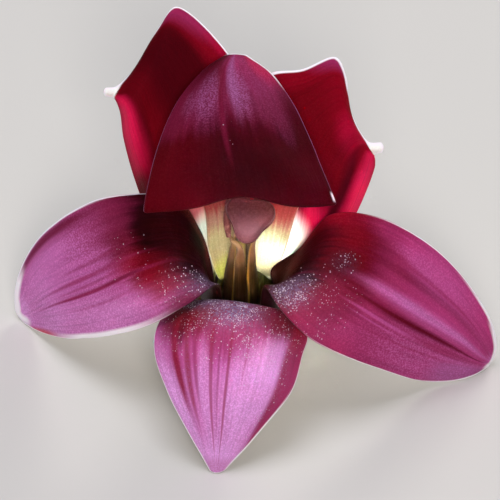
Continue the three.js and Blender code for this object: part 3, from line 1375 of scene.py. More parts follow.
@dataclass
class Stamens:
    """Six stamens: broad filaments pressed round the style, with anthers behind the stigma.

    ring, half_widths, half_depths and lean run from the filaments' feet to their tips: their
    distance from the style, half their width and thickness, and how far they lean over to
    their anthers. anther_taper and furrow shape the two pollen sacs.
    """

    ring: tuple[float, ...] = (2.9, 3.5, 3.3, 2.85, 2.25, 1.75)
    half_widths: tuple[float, ...] = (0.45, 0.75, 1.7, 1.55, 1.2, 0.6, 0.3)
    half_depths: tuple[float, ...] = (0.45, 0.6, 0.95, 0.85, 0.68, 0.45, 0.3)
    lean: tuple[float, ...] = (0.0, 0.0, 0.0, 0.02, 0.1, 0.3)
    first_angle: float = 30.0
    between: float = 60.0
    tip_gap: float = 0.7
    anther_radius: float = 0.75
    anther_taper: float = 0.42
    furrow: float = 0.06
    anthers: tuple[tuple[Point, Point], ...] = (
        ((3.6, 13, -8.4), (4.3, 19.4, -9.6)),
        ((-3.4, 10.4, -4.6), (-4, 15.8, -4.4)),
        ((-3.8, 11.6, -7.6), (-3.5, 18.4, -9)),
        ((-1.6, 12.4, -9.7), (-1.5, 19.2, -10.9)),
        ((0.2, 12.8, -10.3), (0.3, 19.6, -11.5)),
        ((1.9, 12.6, -9.7), (2.2, 19.4, -10.9)),
    )

    def filament_line(self, angle: float, foot: Vector) -> SmoothLine:
        """Gives the centre line of a filament, up to just under its anther.

        Args:
            angle: Its place round the style, in degrees from the viewer's right.
            foot: The anther's lower end.

        Returns:
            The line.
        """
        points = column_points()
        column = SmoothLine(points)
        turn = math.radians(angle)
        ring = []
        for index, (point, radius) in enumerate(zip(points, self.ring)):
            front = Vector((1, 0, 0)).cross(column.heading(index / (len(points) - 1))).normalized()
            out = Vector((math.cos(turn), 0, 0)) + front * math.sin(turn)
            ring.append(point + out * radius)
        reach = foot - ring[-1]
        ring = [point + reach * share for point, share in zip(ring, self.lean)]
        tip = foot - (foot - ring[-1]).normalized() * self.tip_gap
        return SmoothLine([*ring, tip])

    def strap(self, angle: float, t: float, turn: float) -> tuple[float, float]:
        """Gives the outline of a filament: a flat strap bent round the style.

        Args:
            angle: The filament's place round the style, in degrees.
            t: The place along it.
            turn: The place round its outline, in radians.

        Returns:
            The offset to the side and to the front, in millimetres.
        """
        flat = along(self.half_widths, t) * math.cos(turn)
        # The last point of the line, the tip, has no ring of its own
        ringed = min(t * len(self.ring) / (len(self.ring) - 1), 1.0)
        bow = flat * flat / (2 * along(self.ring, ringed))
        deep = along(self.half_depths, t) * math.sin(turn) - bow
        cos, sin = math.cos(math.radians(angle)), math.sin(math.radians(angle))
        return (deep * cos - flat * sin, deep * sin + flat * cos)

    def belly(self, t: float, turn: float) -> tuple[float, float]:
        """Gives the outline of an anther: two pollen sacs with a furrow between them.

        Args:
            t: The place along it.
            turn: The place round it, in radians.

        Returns:
            The offset to the side and to the front, in millimetres.
        """
        swell = self.anther_taper * math.sin(math.pi * t)
        radius = self.anther_radius * (1 - self.anther_taper + swell)
        radius *= 1 - self.furrow + self.furrow * math.cos(2 * turn)
        return (radius * math.cos(turn), radius * math.sin(turn))

    def build(self) -> list[bpy.types.Object]:
        """Builds the filaments and the anthers.

        Returns:
            The objects.
        """
        pieces = []
        flesh = FilamentFlesh().material("satin filament flesh")
        coat = AntherCoat().material("dusty anther")
        for number, (foot, top) in enumerate(self.anthers, start=1):
            angle = self.first_angle + self.between * (number - 1)
            line = self.filament_line(angle, Vector(foot))
            stalk = rolled_tube(
                f"filament_{number}_strap",
                line,
                lambda t, turn, angle=angle: self.strap(angle, t, turn),
                round_steps=20,
                long_steps=60,
            )
            dress(stalk, [flesh], f"filament_{number}")
            sac = rolled_tube(
                f"anther_{number}_sacs",
                SmoothLine([foot, top]),
                self.belly,
                round_steps=16,
                long_steps=16,
            )
            dress(sac, [coat], f"anther_{number}")
            pieces += [stalk, sac]
        return pieces


@dataclass(frozen=True)
class PistilSkin:
    """Ovary, style and stigma: green and olive flesh, and a head with a velvet of papillae.

    The eye gets a dull mauve face that lightens a little at grazing angles, and a painted dark red
    shade on its upper side, for the hood's shadow and the red light it reflects. shade_band is where
    that painted shade rises, in millimetres up the flower's face, and head_middle is the rest of that
    place.
    """

    shade_band: tuple[float, float] = (11.5, 16.5)
    head_middle: tuple[float, float] = (0.8, -0.6)

    def material(self, name: str) -> bpy.types.Material:
        """Builds the material.

        Args:
            name: The material's name.

        Returns:
            The material.
        """
        paint = Paint(name)
        skin = paint.add("ShaderNodeUVMap", {"uv_map": SKIN_UV}).outputs[0]
        place = paint.add("ShaderNodeTexCoord").outputs["Object"]
        split = paint.add("ShaderNodeSeparateXYZ", {}, {"Vector": skin})
        ramp = paint.add("ShaderNodeValToRGB", {}, {"Fac": split.outputs["Y"]})
        fill_ramp(
            ramp.color_ramp,
            [
                (0.0, "#9fae5c"),
                (0.55, "#8a7a3a"),
                (0.63, "#4a1416"),
                (0.74, "#571a20"),
                (0.8, "#5a262c"),
                (0.87, "#63323c"),
                (0.94, "#6b404a"),
            ],
        )
        # Painted shade: the head's upper side is darker red under the hood; its height is measured up
        # the flower's face
        to_row = FlowerFrame().to_row()
        up = to_row.to_3x3() @ Vector((0, 1, 0))
        x, z = self.head_middle
        low, high = (up.dot(to_row @ Vector((x, y, z))) for y in self.shade_band)
        height = paint.add("ShaderNodeVectorMath", {"operation": "DOT_PRODUCT"}, {0: place, 1: up})
        painted_shade = paint.add(
            "ShaderNodeMapRange",
            {"interpolation_type": "SMOOTHSTEP"},
            {
                "Value": height.outputs["Value"],
                "From Min": low,
                "From Max": high,
                "To Min": 0.0,
                "To Max": 0.95,
            },
        ).outputs[0]
        flesh = paint.add(
            "ShaderNodeMix",
            MIX_COLOUR,
            {"Factor": painted_shade, "A": ramp.outputs["Color"], "B": linear("#400608")},
        ).outputs["Result"]
        # Papillae are about 0.1 mm, and are drawn at 0.4 mm so that they show
        papillae = paint.add(
            "ShaderNodeTexNoise", {}, {"Vector": place, "Scale": cells_per_metre(0.385), "Detail": 3.0}
        ).outputs["Fac"]
        colour = paint.tint(flesh, linear("#8a5462"), papillae, (0.4, 0.7), (0.0, 0.14))
        bump = paint.add(
            "ShaderNodeBump", {}, {"Height": papillae, "Strength": 0.5, "Distance": 0.25 * MM}
        )
        velvet = paint.add(
            "ShaderNodeBsdfPrincipled",
            {},
            {
                "Base Color": colour,
                "Roughness": 0.6,
                "Specular IOR Level": 0.15,
                "Sheen Weight": 0.04,
                "Sheen Roughness": 0.5,
                "Sheen Tint": linear("#b98aa4"),
                "Subsurface Weight": 0.15,
                "Subsurface Radius": (1.0, 0.5, 0.5),
                "Subsurface Scale": 0.8 * MM,
                "Normal": bump.outputs[0],
            },
        )
        return paint.finish(velvet.outputs[0])


@dataclass
class Pistil:
    """Ovary, style and three-lobed stigma, grown as one.

    radii run from the foot to the stigma's face. rim_at is where the stigma's rim begins to
    close, and lobes_from is where its lobes begin and where they are full.
    """

    radii: tuple[float, ...] = (1.9, 2.3, 1.3, 1.1, 0.9, 0.75, 0.8, 4.6, 4.5, 4.5, 4.5)
    rim_at: float = 0.78
    head: tuple[Point, ...] = (
        (0.3, 12.4, -4.6),
        (0.7, 14, -3),
        (0.8, 14.5, -1.5),
        (0.8, 14.7, -0.7),
        (0.8, 14.8, -0.45),
    )
    lobes: int = 3
    lobe_depth: float = 0.2
    lobes_from: tuple[float, float] = (0.63, 0.72)
    turn: float = 9.0

    def outline(self, t: float, turn: float) -> tuple[float, float]:
        """Gives the outline at a place along the pistil.

        Args:
            t: The place along it.
            turn: The place round it, in radians.

        Returns:
            The offset to the side and to the front, in millimetres.
        """
        lobed = smooth_step(*self.lobes_from, t) * self.lobe_depth
        swing = math.sin(self.lobes * (turn - math.radians(self.turn)))
        dome = max(t - self.rim_at, 0) / (1 - self.rim_at)
        radius = along(self.radii, t) * math.sqrt(1 - dome * dome) * (1 - lobed * swing)
        return (radius * math.cos(turn), radius * math.sin(turn))

    def build(self) -> list[bpy.types.Object]:
        """Builds the pistil.

        Returns:
            The one object.
        """
        line = SmoothLine([*column_points(), *self.head])
        piece = rolled_tube("pistil_flesh", line, self.outline, round_steps=48, long_steps=110)
        dress(piece, [PistilSkin().material("velvet pistil")], "pistil")
        return [piece]


@dataclass(frozen=True)
class GreenStem:
    """A fresh green flower stalk: waxy, faintly ribbed, paler towards the cut."""

    def material(self, name: str) -> bpy.types.Material:
        """Builds the material.

        Args:
            name: The material's name.

        Returns:
            The material.
        """
        paint = Paint(name)
        skin = paint.add("ShaderNodeUVMap", {"uv_map": SKIN_UV}).outputs[0]
        place = paint.add("ShaderNodeTexCoord").outputs["Object"]
        split = paint.add("ShaderNodeSeparateXYZ", {}, {"Vector": skin})
        ramp = paint.add("ShaderNodeValToRGB", {}, {"Fac": split.outputs["Y"]})
        fill_ramp(
            ramp.color_ramp,
            [
                (0.0, "#d5dcae"),
                (0.03, "#7d9448"),
                (0.5, "#6f8c3e"),
                (0.8, "#86a04c"),
                (1.0, "#a9b86c"),
            ],
        )
        # Fine ribs: 30 round the stalk, 0.5 to 1.3 mm apart
        ribs_place = paint.add("ShaderNodeMapping", {}, {"Vector": skin, "Scale": (30.0, 2.5, 1)})
        ribs = paint.add(
            "ShaderNodeTexNoise", {}, {"Vector": ribs_place.outputs[0], "Scale": 1.0, "Detail": 3.0}
        ).outputs["Fac"]
        # Darker patches about 2 mm across
        mottle = paint.add(
            "ShaderNodeTexNoise", {}, {"Vector": place, "Scale": cells_per_metre(2.22), "Detail": 3.0}
        ).outputs["Fac"]
        colour = ramp.outputs["Color"]
        colour = paint.tint(colour, linear("#54702c"), mottle, (0.45, 0.7), (0.0, 0.4))
        bump = paint.add(
            "ShaderNodeBump", {}, {"Height": ribs, "Strength": 0.5, "Distance": 0.3 * MM}
        )
        stem = paint.add(
            "ShaderNodeBsdfPrincipled",
            {},
            {
                "Base Color": colour,
                "Roughness": 0.42,
                "IOR": 1.42,
                "Subsurface Weight": 0.15,
                "Subsurface Radius": (0.7, 1.0, 0.3),
                "Subsurface Scale": 0.8 * MM,
                "Normal": bump.outputs[0],
            },
        )
        return paint.finish(stem.outputs[0])


@dataclass
class Pedicel:
    """The cut stalk with the swollen receptacle at its end.

    start holds the stalk's own points, and back is how far its last points stand behind the
    tube's first ring.
    """

    start: tuple[Point, ...] = ((-4, 23.6, -79.3), (-3, 20.7, -73.5), (-1, 17.2, -68))
    radii: tuple[float, ...] = (2.9, 2.6, 2.7, 3.1, 5.2, 6.2)
    back: tuple[float, ...] = (8, 3, 0)
    ribs: int = 6
    rib_depth: float = 0.02

    def outline(self, t: float, turn: float) -> tuple[float, float]:
        """Gives the outline: round, with six faint ribs under the tepals' feet.

        Args:
            t: The place along it.
            turn: The place round it, in radians.

        Returns:
            The offset to the side and to the front, in millimetres.
        """
        rib = self.rib_depth * (math.cos(self.ribs * turn) - 1)
        radius = along(self.radii, t) * (1 + rib)
        return (radius * math.cos(turn), radius * math.sin(turn))

    def build(self) -> list[bpy.types.Object]:
        """Builds the stalk.

        Returns:
            The one object.
        """
        ring = TUBE[0]
        seat = Vector((0, ring.y, ring.z))
        near = [seat - ring.axis() * (back + SEAT_GAP) for back in self.back]
        line = SmoothLine([*self.start, *near])
        piece = rolled_tube("pedicel_stem", line, self.outline, round_steps=48, long_steps=56)
        dress(piece, [GreenStem().material("fresh green stem")], "pedicel")
        return [piece]


@dataclass(frozen=True)
class Board:
    """A matt, pale painted board: even, with a barely visible tooth."""

    colour: str = "#cfcdc9"

    def material(self, name: str) -> bpy.types.Material:
        """Builds the material.

        Args:
            name: The material's name.

        Returns:
            The material.
        """
        paint = Paint(name)
        place = paint.add("ShaderNodeTexCoord").outputs["Object"]
        # The paint's tooth, about 1 mm
        tooth = paint.add(
            "ShaderNodeTexNoise", {}, {"Vector": place, "Scale": cells_per_metre(1.11), "Detail": 2.0}
        ).outputs["Fac"]
        bump = paint.add(
            "ShaderNodeBump", {}, {"Height": tooth, "Strength": 0.1, "Distance": 0.1 * MM}
        )
        board = paint.add(
            "ShaderNodeBsdfPrincipled",
            {},
            {"Base Color": linear(self.colour), "Roughness": 0.7, "Normal": bump.outputs[0]},
        )
        return paint.finish(board.outputs[0])


@dataclass
class Studio:
    """A pale floor, soft light and the camera at the photograph's viewing angle.

    floor_size and heart, the place that the lamps look at, are in metres. eye, target and
    lens are in millimetres, and throat is too, in the flower's frame. beam_power is in
    watts and beam_spread in degrees.
    """

    floor_size: float = 3.0
    eye: Point = (-0.97, -1207.1, 962.9)
    target: Point = (-0.97, -25.1, 39.4)
    lens: float = 540.0
    throat: Point = (2.5, 9, -15)
    beam_power: float = 0.0075
    beam_spread: float = 2.4
    heart: Point = (0, 0, 0.03)
    sky: str = "#e8ebf0"
    sky_strength: float = 0.25

    def aim(self, item: bpy.types.Object, target: Vector) -> None:
        """Turns a lamp or the camera towards a place in metres."""
        item.rotation_euler = (target - Vector(item.location)).to_track_quat("-Z", "Y").to_euler()

    def add_lamp(
        self, name: str, at: Point, size: float, power: float, colour: str
    ) -> bpy.types.Object:
        """Adds a soft square light that looks at the flower.

        Args:
            name: The light's name.
            at: Its place in metres.
            size: Its side in metres.
            power: Its power in watts.
            colour: Its sRGB hex colour.

        Returns:
            The light's object.
        """
        light = bpy.data.lights.new(name, "AREA")
        light.size = size
        light.energy = power
        light.color = linear(colour)[:3]
        lamp = bpy.data.objects.new(name, light)
        lamp.location = at
        self.aim(lamp, Vector(self.heart))
        lamp.visible_camera = False
        bpy.context.scene.collection.objects.link(lamp)
        return lamp

    def add_floor(self) -> None:
        """Adds the board that the flower lies on."""
        ground = bmesh.new()
        bmesh.ops.create_grid(ground, x_segments=1, y_segments=1, size=self.floor_size / 2)
        mesh = bpy.data.meshes.new("floor")
        ground.to_mesh(mesh)
        ground.free()
        floor = bpy.data.objects.new("floor", mesh)
        floor.data.materials.append(Board().material("matt pale board"))
        bpy.context.scene.collection.objects.link(floor)

    def add_lights(self) -> None:
        """Adds three soft lamps, and a narrow beam into the throat.

        The beam stands for the daylight that reaches the throat through the thin claws.
        """
        self.add_lamp("overhead", at=(-0.15, -0.05, 1.15), size=0.7, power=8.0, colour="#f6f6ff")
        self.add_lamp("front", at=(0.05, -1.1, 0.72), size=0.3, power=8.0, colour="#fffaf4")
        self.add_lamp("back", at=(0.4, 0.9, 0.45), size=0.4, power=4.0, colour="#fffaf2")
        beam = self.add_lamp(
            "throat", at=(0.03, -0.98, 0.79), size=0.02, power=self.beam_power, colour="#fffdf4"
        )
        beam.data.spread = math.radians(self.beam_spread)
        self.aim(beam, FlowerFrame().to_row() @ Vector(self.throat))

    def add_sky(self) -> None:
        """Adds an even, pale sky, and shows colours as they are."""
        world = bpy.data.worlds.new("soft studio")
        world.use_nodes = True
        background = world.node_tree.nodes["Background"]
        background.inputs["Color"].default_value = linear(self.sky)
        background.inputs["Strength"].default_value = self.sky_strength
        bpy.context.scene.world = world
        bpy.context.scene.view_settings.view_transform = "Standard"

    def add_camera(self) -> None:
        """Adds the camera, at the photograph's viewing angle."""
        camera = bpy.data.cameras.new("camera")
        camera.lens = self.lens
        camera.sensor_width = 36.0
        camera.clip_start = 0.05
        camera.clip_end = 20.0
        holder = bpy.data.objects.new("camera", camera)
        holder.location = Vector(self.eye) * MM
        self.aim(holder, Vector(self.target) * MM)
        bpy.context.scene.collection.objects.link(holder)
        bpy.context.scene.camera = holder

    def build(self) -> None:
        """Builds the floor, the lights, the sky and the camera."""
        self.add_floor()
        self.add_lights()
        self.add_sky()
        self.add_camera()


# The lowest tepal: a hollow bowl under the throat, lilac with blood-red veins
BOTTOM = Tepal(
    name="outer_tepal_bottom",
    whorl=Whorl.OUTER,
    around=270,
    rows=(
        ((-9.5, -7.5, -16), (0, -11, -16), (9.5, -8.5, -16)),
        ((-13.5, -2.6, -11), (-1, -2.9, -1), (11, -6, -10.5)),
        ((-17.5, -7, -9.5), (-2.4, -7, 3), (12.5, -9.5, -8.5)),
        ((-18.3, -12.5, -7), (-3.2, -12, 3.5), (11.5, -12.8, -7.5)),
        ((-15.5, -21, -4.5), (-4.2, -21, 1), (9.2, -20.5, -4)),
        ((-11, -29.5, -5), (-5, -30, -2.5), (2.2, -29.2, -5)),
        ((-6.9, -36.3, -6.8), (-5.8, -36.8, -6.5), (-4.4, -36.1, -6.8)),
    ),
    skin=TepalSkin(
        ramp=(
            (0, Pigment.YELLOW_GREEN),
            (50, Pigment.OLIVE),
            (60, Pigment.BLACK_MAROON),
            (66, Pigment.WINE),
            (70, Pigment.MAGENTA),
            (76, Pigment.PINK),
            (81, Pigment.ORCHID),
            (92, Pigment.ORCHID),
            (99, Pigment.ORCHID),
        ),
        stains=(
            # The lilac patches are partly the tepal's own colour and partly painted sheen from the sky
            Stain(Pigment.LILAC, Spot(0.7, 84, 0.22, 10), 0.85, broken=0.3),
            Stain(Pigment.LILAC, Spot(0.5, 95, 0.32, 9), 0.5, broken=0.6),
            Stain(Pigment.LILAC, Spot(0.34, 83, 0.06, 9), 0.6, broken=0.4),
            Stain(Pigment.LILAC, Spot(0.22, 82, 0.02, 9), 0.4, broken=0.5),
            Stain(Pigment.PINK, Spot(0.03, 74, 0.07, 7), 0.8),
            Stain(Pigment.LILAC, stripe((0.02, 77), (0.14, 102), 0.08), 1.0, broken=0.3),
            Stain(Pigment.MAROON, Spot(0.2, 65.5, 0.17, 6), 1.0),
            Stain(Pigment.WINE, Spot(0.88, 66, 0.2, 5), 1.0),
            Stain(Pigment.OXBLOOD, Spot(0.14, 69.5, 0.09, 3.5, softness=0.8), 0.85),
            Stain(Pigment.BLOOD, Spot(0.31, 68.6, 0.08, 2.6, softness=0.9), 0.7),
            Stain(Pigment.OXBLOOD, Spot(0.84, 67.5, 0.12, 3, softness=0.9), 0.75),
            Stain(Pigment.LILAC, Spot(0.5, 103, 0.6, 9), 1.0, broken=0.15),
            Stain(Pigment.LILAC, Spot(0.8, 77, 0.12, 5), 0.6),
            Stain(Pigment.RUBY, Spot(0.48, 72, 0.14, 4), 0.6),
            Stain(Pigment.BLOOD, stripe((0.145, 71), (0.17, 87), 0.026), 0.85),
            Stain(Pigment.BLOOD, stripe((0.22, 70), (0.235, 90), 0.02), 0.85, broken=0.3),
            Stain(Pigment.RUBY, stripe((0.27, 68), (0.285, 86), 0.014), 0.75, broken=0.3),
            Stain(Pigment.BLOOD, stripe((0.385, 68), (0.39, 96), 0.013), 0.7, broken=0.3),
            Stain(Pigment.RUBY, stripe((0.44, 71), (0.44, 92), 0.008), 0.45),
            Stain(Pigment.BLOOD, stripe((0.505, 68), (0.5, 100), 0.011), 0.7, broken=0.2),
            Stain(Pigment.RUBY, stripe((0.62, 68), (0.61, 82), 0.008), 0.45),
            Stain(Pigment.BLOOD, Spot(1.0, 81, 0.14, 17.5, softness=0.16), 0.9, broken=0.2),
            Stain(Pigment.MAGENTA, Spot(1.0, 83, 0.14, 14, softness=0.4), 0.7, broken=0.7),
            Stain(Pigment.RUBY, Spot(0.45, 100.8, 0.6, 2.4), 0.5, broken=0.8),
        ),
        dust=(
            Dusting(Spot(0.48, 66.3, 0.17, 3.8, softness=0.8), 0.5, 0.85),
            Dusting(Spot(0.2, 64.5, 0.12, 2, softness=0.8), 0.3, 0.4),
            Dusting(Spot(0.7, 73, 0.22, 6, softness=0.8), 0.16, 0.05),
            Dusting(Spot(0.5, 68, 0.45, 7, softness=0.8), 0.12, 0.05),
            Dusting(Spot(0.86, 80, 0.04, 12, softness=0.9), 0.14, 0.0),
        ),
        rims=(PaleRim(Spot(1.0, 94, 0.2, 8), 0.3), PaleRim(Spot(0.0, 92, 0.2, 10), 0.15)),
        seed=1.0,
    ),
    ridges=(
        Ridge(0.5, 0.5, 66, 98, -0.1, 0.02),
        Ridge(0.385, 0.385, 68, 94, -0.06, 0.02),
    ),
    back=TepalBack(seed=1.0),
    edge=TepalEdge(),
    seed=1.0,
)
# Behind the hood, on its left: dark red, with a rounded peak and a blunt white tip
UPPER_LEFT = Tepal(
    name="outer_tepal_upper_left",
    whorl=Whorl.OUTER,
    around=150,
    rows=(
        ((-3.8, 14.6, -24.8), (-11.5, 6, -21), (-12, -2, -19.5)),
        ((-4, 23.5, -19), (-14, 13.5, -16), (-15.5, 6, -18)),
        (
            (-3, 31, -17),
            (-8.5, 27.5, -14.5),
            (-13.5, 23, -13),
            (-17.5, 18.5, -12.5),
            (-19.3, 14.5, -19),
        ),
        (
            (-0.5, 41.5, -16.5),
            (-9, 35.5, -13.5),
            (-15, 30, -11.5),
            (-19.6, 24.6, -10.5),
            (-22, 21.5, -18.5),
        ),
        (
            (-3.6, 47.9, -17.5),
            (-11.2, 42.6, -14),
            (-17.6, 37.2, -11.6),
            (-22, 32, -10.2),
            (-24.5, 30, -17.5),
        ),
        (
            (-14, 57.3, -20),
            (-16.8, 49.5, -15.8),
            (-20.2, 42.6, -12.6),
            (-23.4, 36.6, -10.8),
            (-25, 35, -16.5),
        ),
        (
            (-16.7, 53.8, -19.5),
            (-19.1, 48.7, -16.5),
            (-21.8, 43, -13.8),
            (-24.4, 38.2, -12),
            (-25.5, 37, -15.5),
        ),
        (
            (-21.6, 45, -16.5),
            (-23.2, 42.9, -15.2),
            (-24.6, 40.8, -14),
            (-25.5, 39, -13),
            (-26, 38.2, -15),
        ),
        ((-25.9, 40.7, -14.4), (-26.4, 39.8, -13.6), (-26.6, 38.9, -14.4)),
        ((-28.4, 40.5, -13.3), (-28.7, 39.8, -12.9), (-28.4, 39, -13.3)),
    ),
    skin=TepalSkin(
        ramp=(
            (0, Pigment.YELLOW_GREEN),
            (28, Pigment.CREAM),
            (34, Pigment.IVORY),
            (39.5, Pigment.IVORY),
            (44, Pigment.BLUSH),
            (60, Pigment.GARNET),
            (81, Pigment.OXBLOOD),
            (85, Pigment.GARNET),
        ),
        stains=(
            Stain(Pigment.MAROON, Spot(0.3, 73, 0.2, 9), 0.75),
            Stain(Pigment.BLOOD, stripe((0.08, 66), (0.03, 82), 0.07), 0.8),
            Stain(Pigment.CRIMSON, Spot(0.0, 74, 0.05, 8), 0.5),
            Stain(Pigment.MAGENTA, Spot(0.0, 77.5, 0.09, 4), 0.7),
            Stain(Pigment.MAROON, stripe((0.68, 60), (0.66, 74), 0.03), 0.5),
            # Painted glow over the blade's own crimson: these stripes along the margin stand in for
            # light shining through the thin blade
            Stain(Pigment.CRIMSON, stripe((0.9, 62), (0.84, 84), 0.15), 0.9),
            Stain(Pigment.LIT_SCARLET, stripe((0.8, 68), (0.85, 83), 0.1), 0.7),
            Stain(Pigment.OXBLOOD, Spot(0.88, 60, 0.14, 4), 0.8),
            Stain(Pigment.IVORY, Spot(0.5, 88, 1.5, 3.6, softness=0.15), 1.0),
        ),
        rims=(PaleRim(Spot(0.0, 74, 0.3, 10), 0.15), PaleRim(Spot(0.0, 84, 0.3, 4), 0.3)),
        glint_strength=0.12,
        vein_count=60.0,
        streak_mm=0.4,
        seed=2.0,
    ),
    back=TepalBack(seed=2.0),
    edge=TepalEdge(),
    seed=2.0,
)
# Behind the hood, on its right, likewise
UPPER_RIGHT = Tepal(
    name="outer_tepal_upper_right",
    whorl=Whorl.OUTER,
    around=30,
    rows=(
        ((12, -4, -19.5), (12, 5, -21), (4.4, 14.8, -25)),
        ((15.5, 4, -18), (14.5, 12.5, -16), (5, 23.5, -19)),
        ((20.8, 12.5, -18.5), (17.8, 13.8, -12.5), (14.5, 19, -13), (10, 26, -14.5), (5, 32, -17)),
        (
            (23.2, 17.4, -18.5),
            (19.8, 17.6, -11.5),
            (16.5, 23.5, -12),
            (11.6, 32.4, -14),
            (4.4, 43.2, -17),
        ),
        (
            (24.9, 21.5, -18),
            (21.4, 21.8, -11.2),
            (18.6, 28, -12),
            (15, 36.5, -14.5),
            (11.4, 44.5, -18),
        ),
        (
            (25.9, 25, -17),
            (22.8, 25.6, -11.4),
            (21, 31, -12.8),
            (19.3, 38.8, -15.5),
            (18.2, 47.1, -19.5),
        ),
        ((26, 26, -16), (23.4, 27, -12), (22, 31.2, -13.4), (20.6, 36.5, -15.5), (20.1, 43.6, -18.8)),
        ((26, 26.8, -15.2), (24, 28, -12.8), (23, 30.6, -14), (21.7, 33.3, -15.4), (20.5, 37, -17)),
        ((25.9, 27.4, -14.6), (25.2, 28.4, -13.6), (24.5, 29.6, -14.4)),
        ((27.6, 27.7, -13.5), (27.9, 28.6, -13.1), (27.5, 29.5, -13.5)),
    ),
    skin=TepalSkin(
        ramp=(
            (0, Pigment.YELLOW_GREEN),
            (28, Pigment.CREAM),
            (34, Pigment.IVORY),
            (39.5, Pigment.IVORY),
            (46, Pigment.CRIMSON),
            (56, Pigment.OXBLOOD),
            (62, Pigment.GARNET),
            (69, Pigment.BLOOD),
        ),
        stains=(
            Stain(Pigment.CRIMSON, Spot(0.4, 45, 0.18, 9), 0.9),
            Stain(Pigment.IVORY, stripe((0.76, 26), (0.74, 40.5), 0.14), 1.0),
            # Painted shadow where the hood falls over the claw
            Stain(Pigment.OXBLOOD, Spot(0.78, 48, 0.12, 4), 0.95),
            Stain(Pigment.CRIMSON, Spot(0.5, 68.5, 0.14, 4), 0.35),
            Stain(Pigment.MAROON, Spot(0.34, 63.5, 0.05, 5), 0.7),
            Stain(Pigment.OXBLOOD, Spot(0.42, 60, 0.12, 8), 0.6),
            # Painted shadow line beside the bright strip
            Stain(Pigment.MAROON, stripe((0.29, 48), (0.29, 67), 0.055), 0.95),
            # Painted glow: this strip along the outer margin stands in for light shining through the
            # thin blade
            Stain(Pigment.LIT_SCARLET, stripe((0.09, 43), (0.12, 73), 0.12), 1.0),
            Stain(Pigment.BLOOD, Spot(0.97, 62, 0.07, 8), 0.8),
            Stain(Pigment.MAGENTA, Spot(1.0, 68, 0.08, 3.5), 0.8),
            Stain(Pigment.IVORY, Spot(0.5, 76.5, 1.5, 4, softness=0.15), 1.0),
        ),
        rims=(PaleRim(Spot(1.0, 66, 0.5, 11), 0.35), PaleRim(Spot(0.8, 72, 0.5, 4), 0.4)),
        glint_strength=0.12,
        vein_count=60.0,
        streak_mm=0.4,
        seed=3.0,
    ),
    back=TepalBack(seed=3.0),
    edge=TepalEdge(),
    seed=3.0,
)
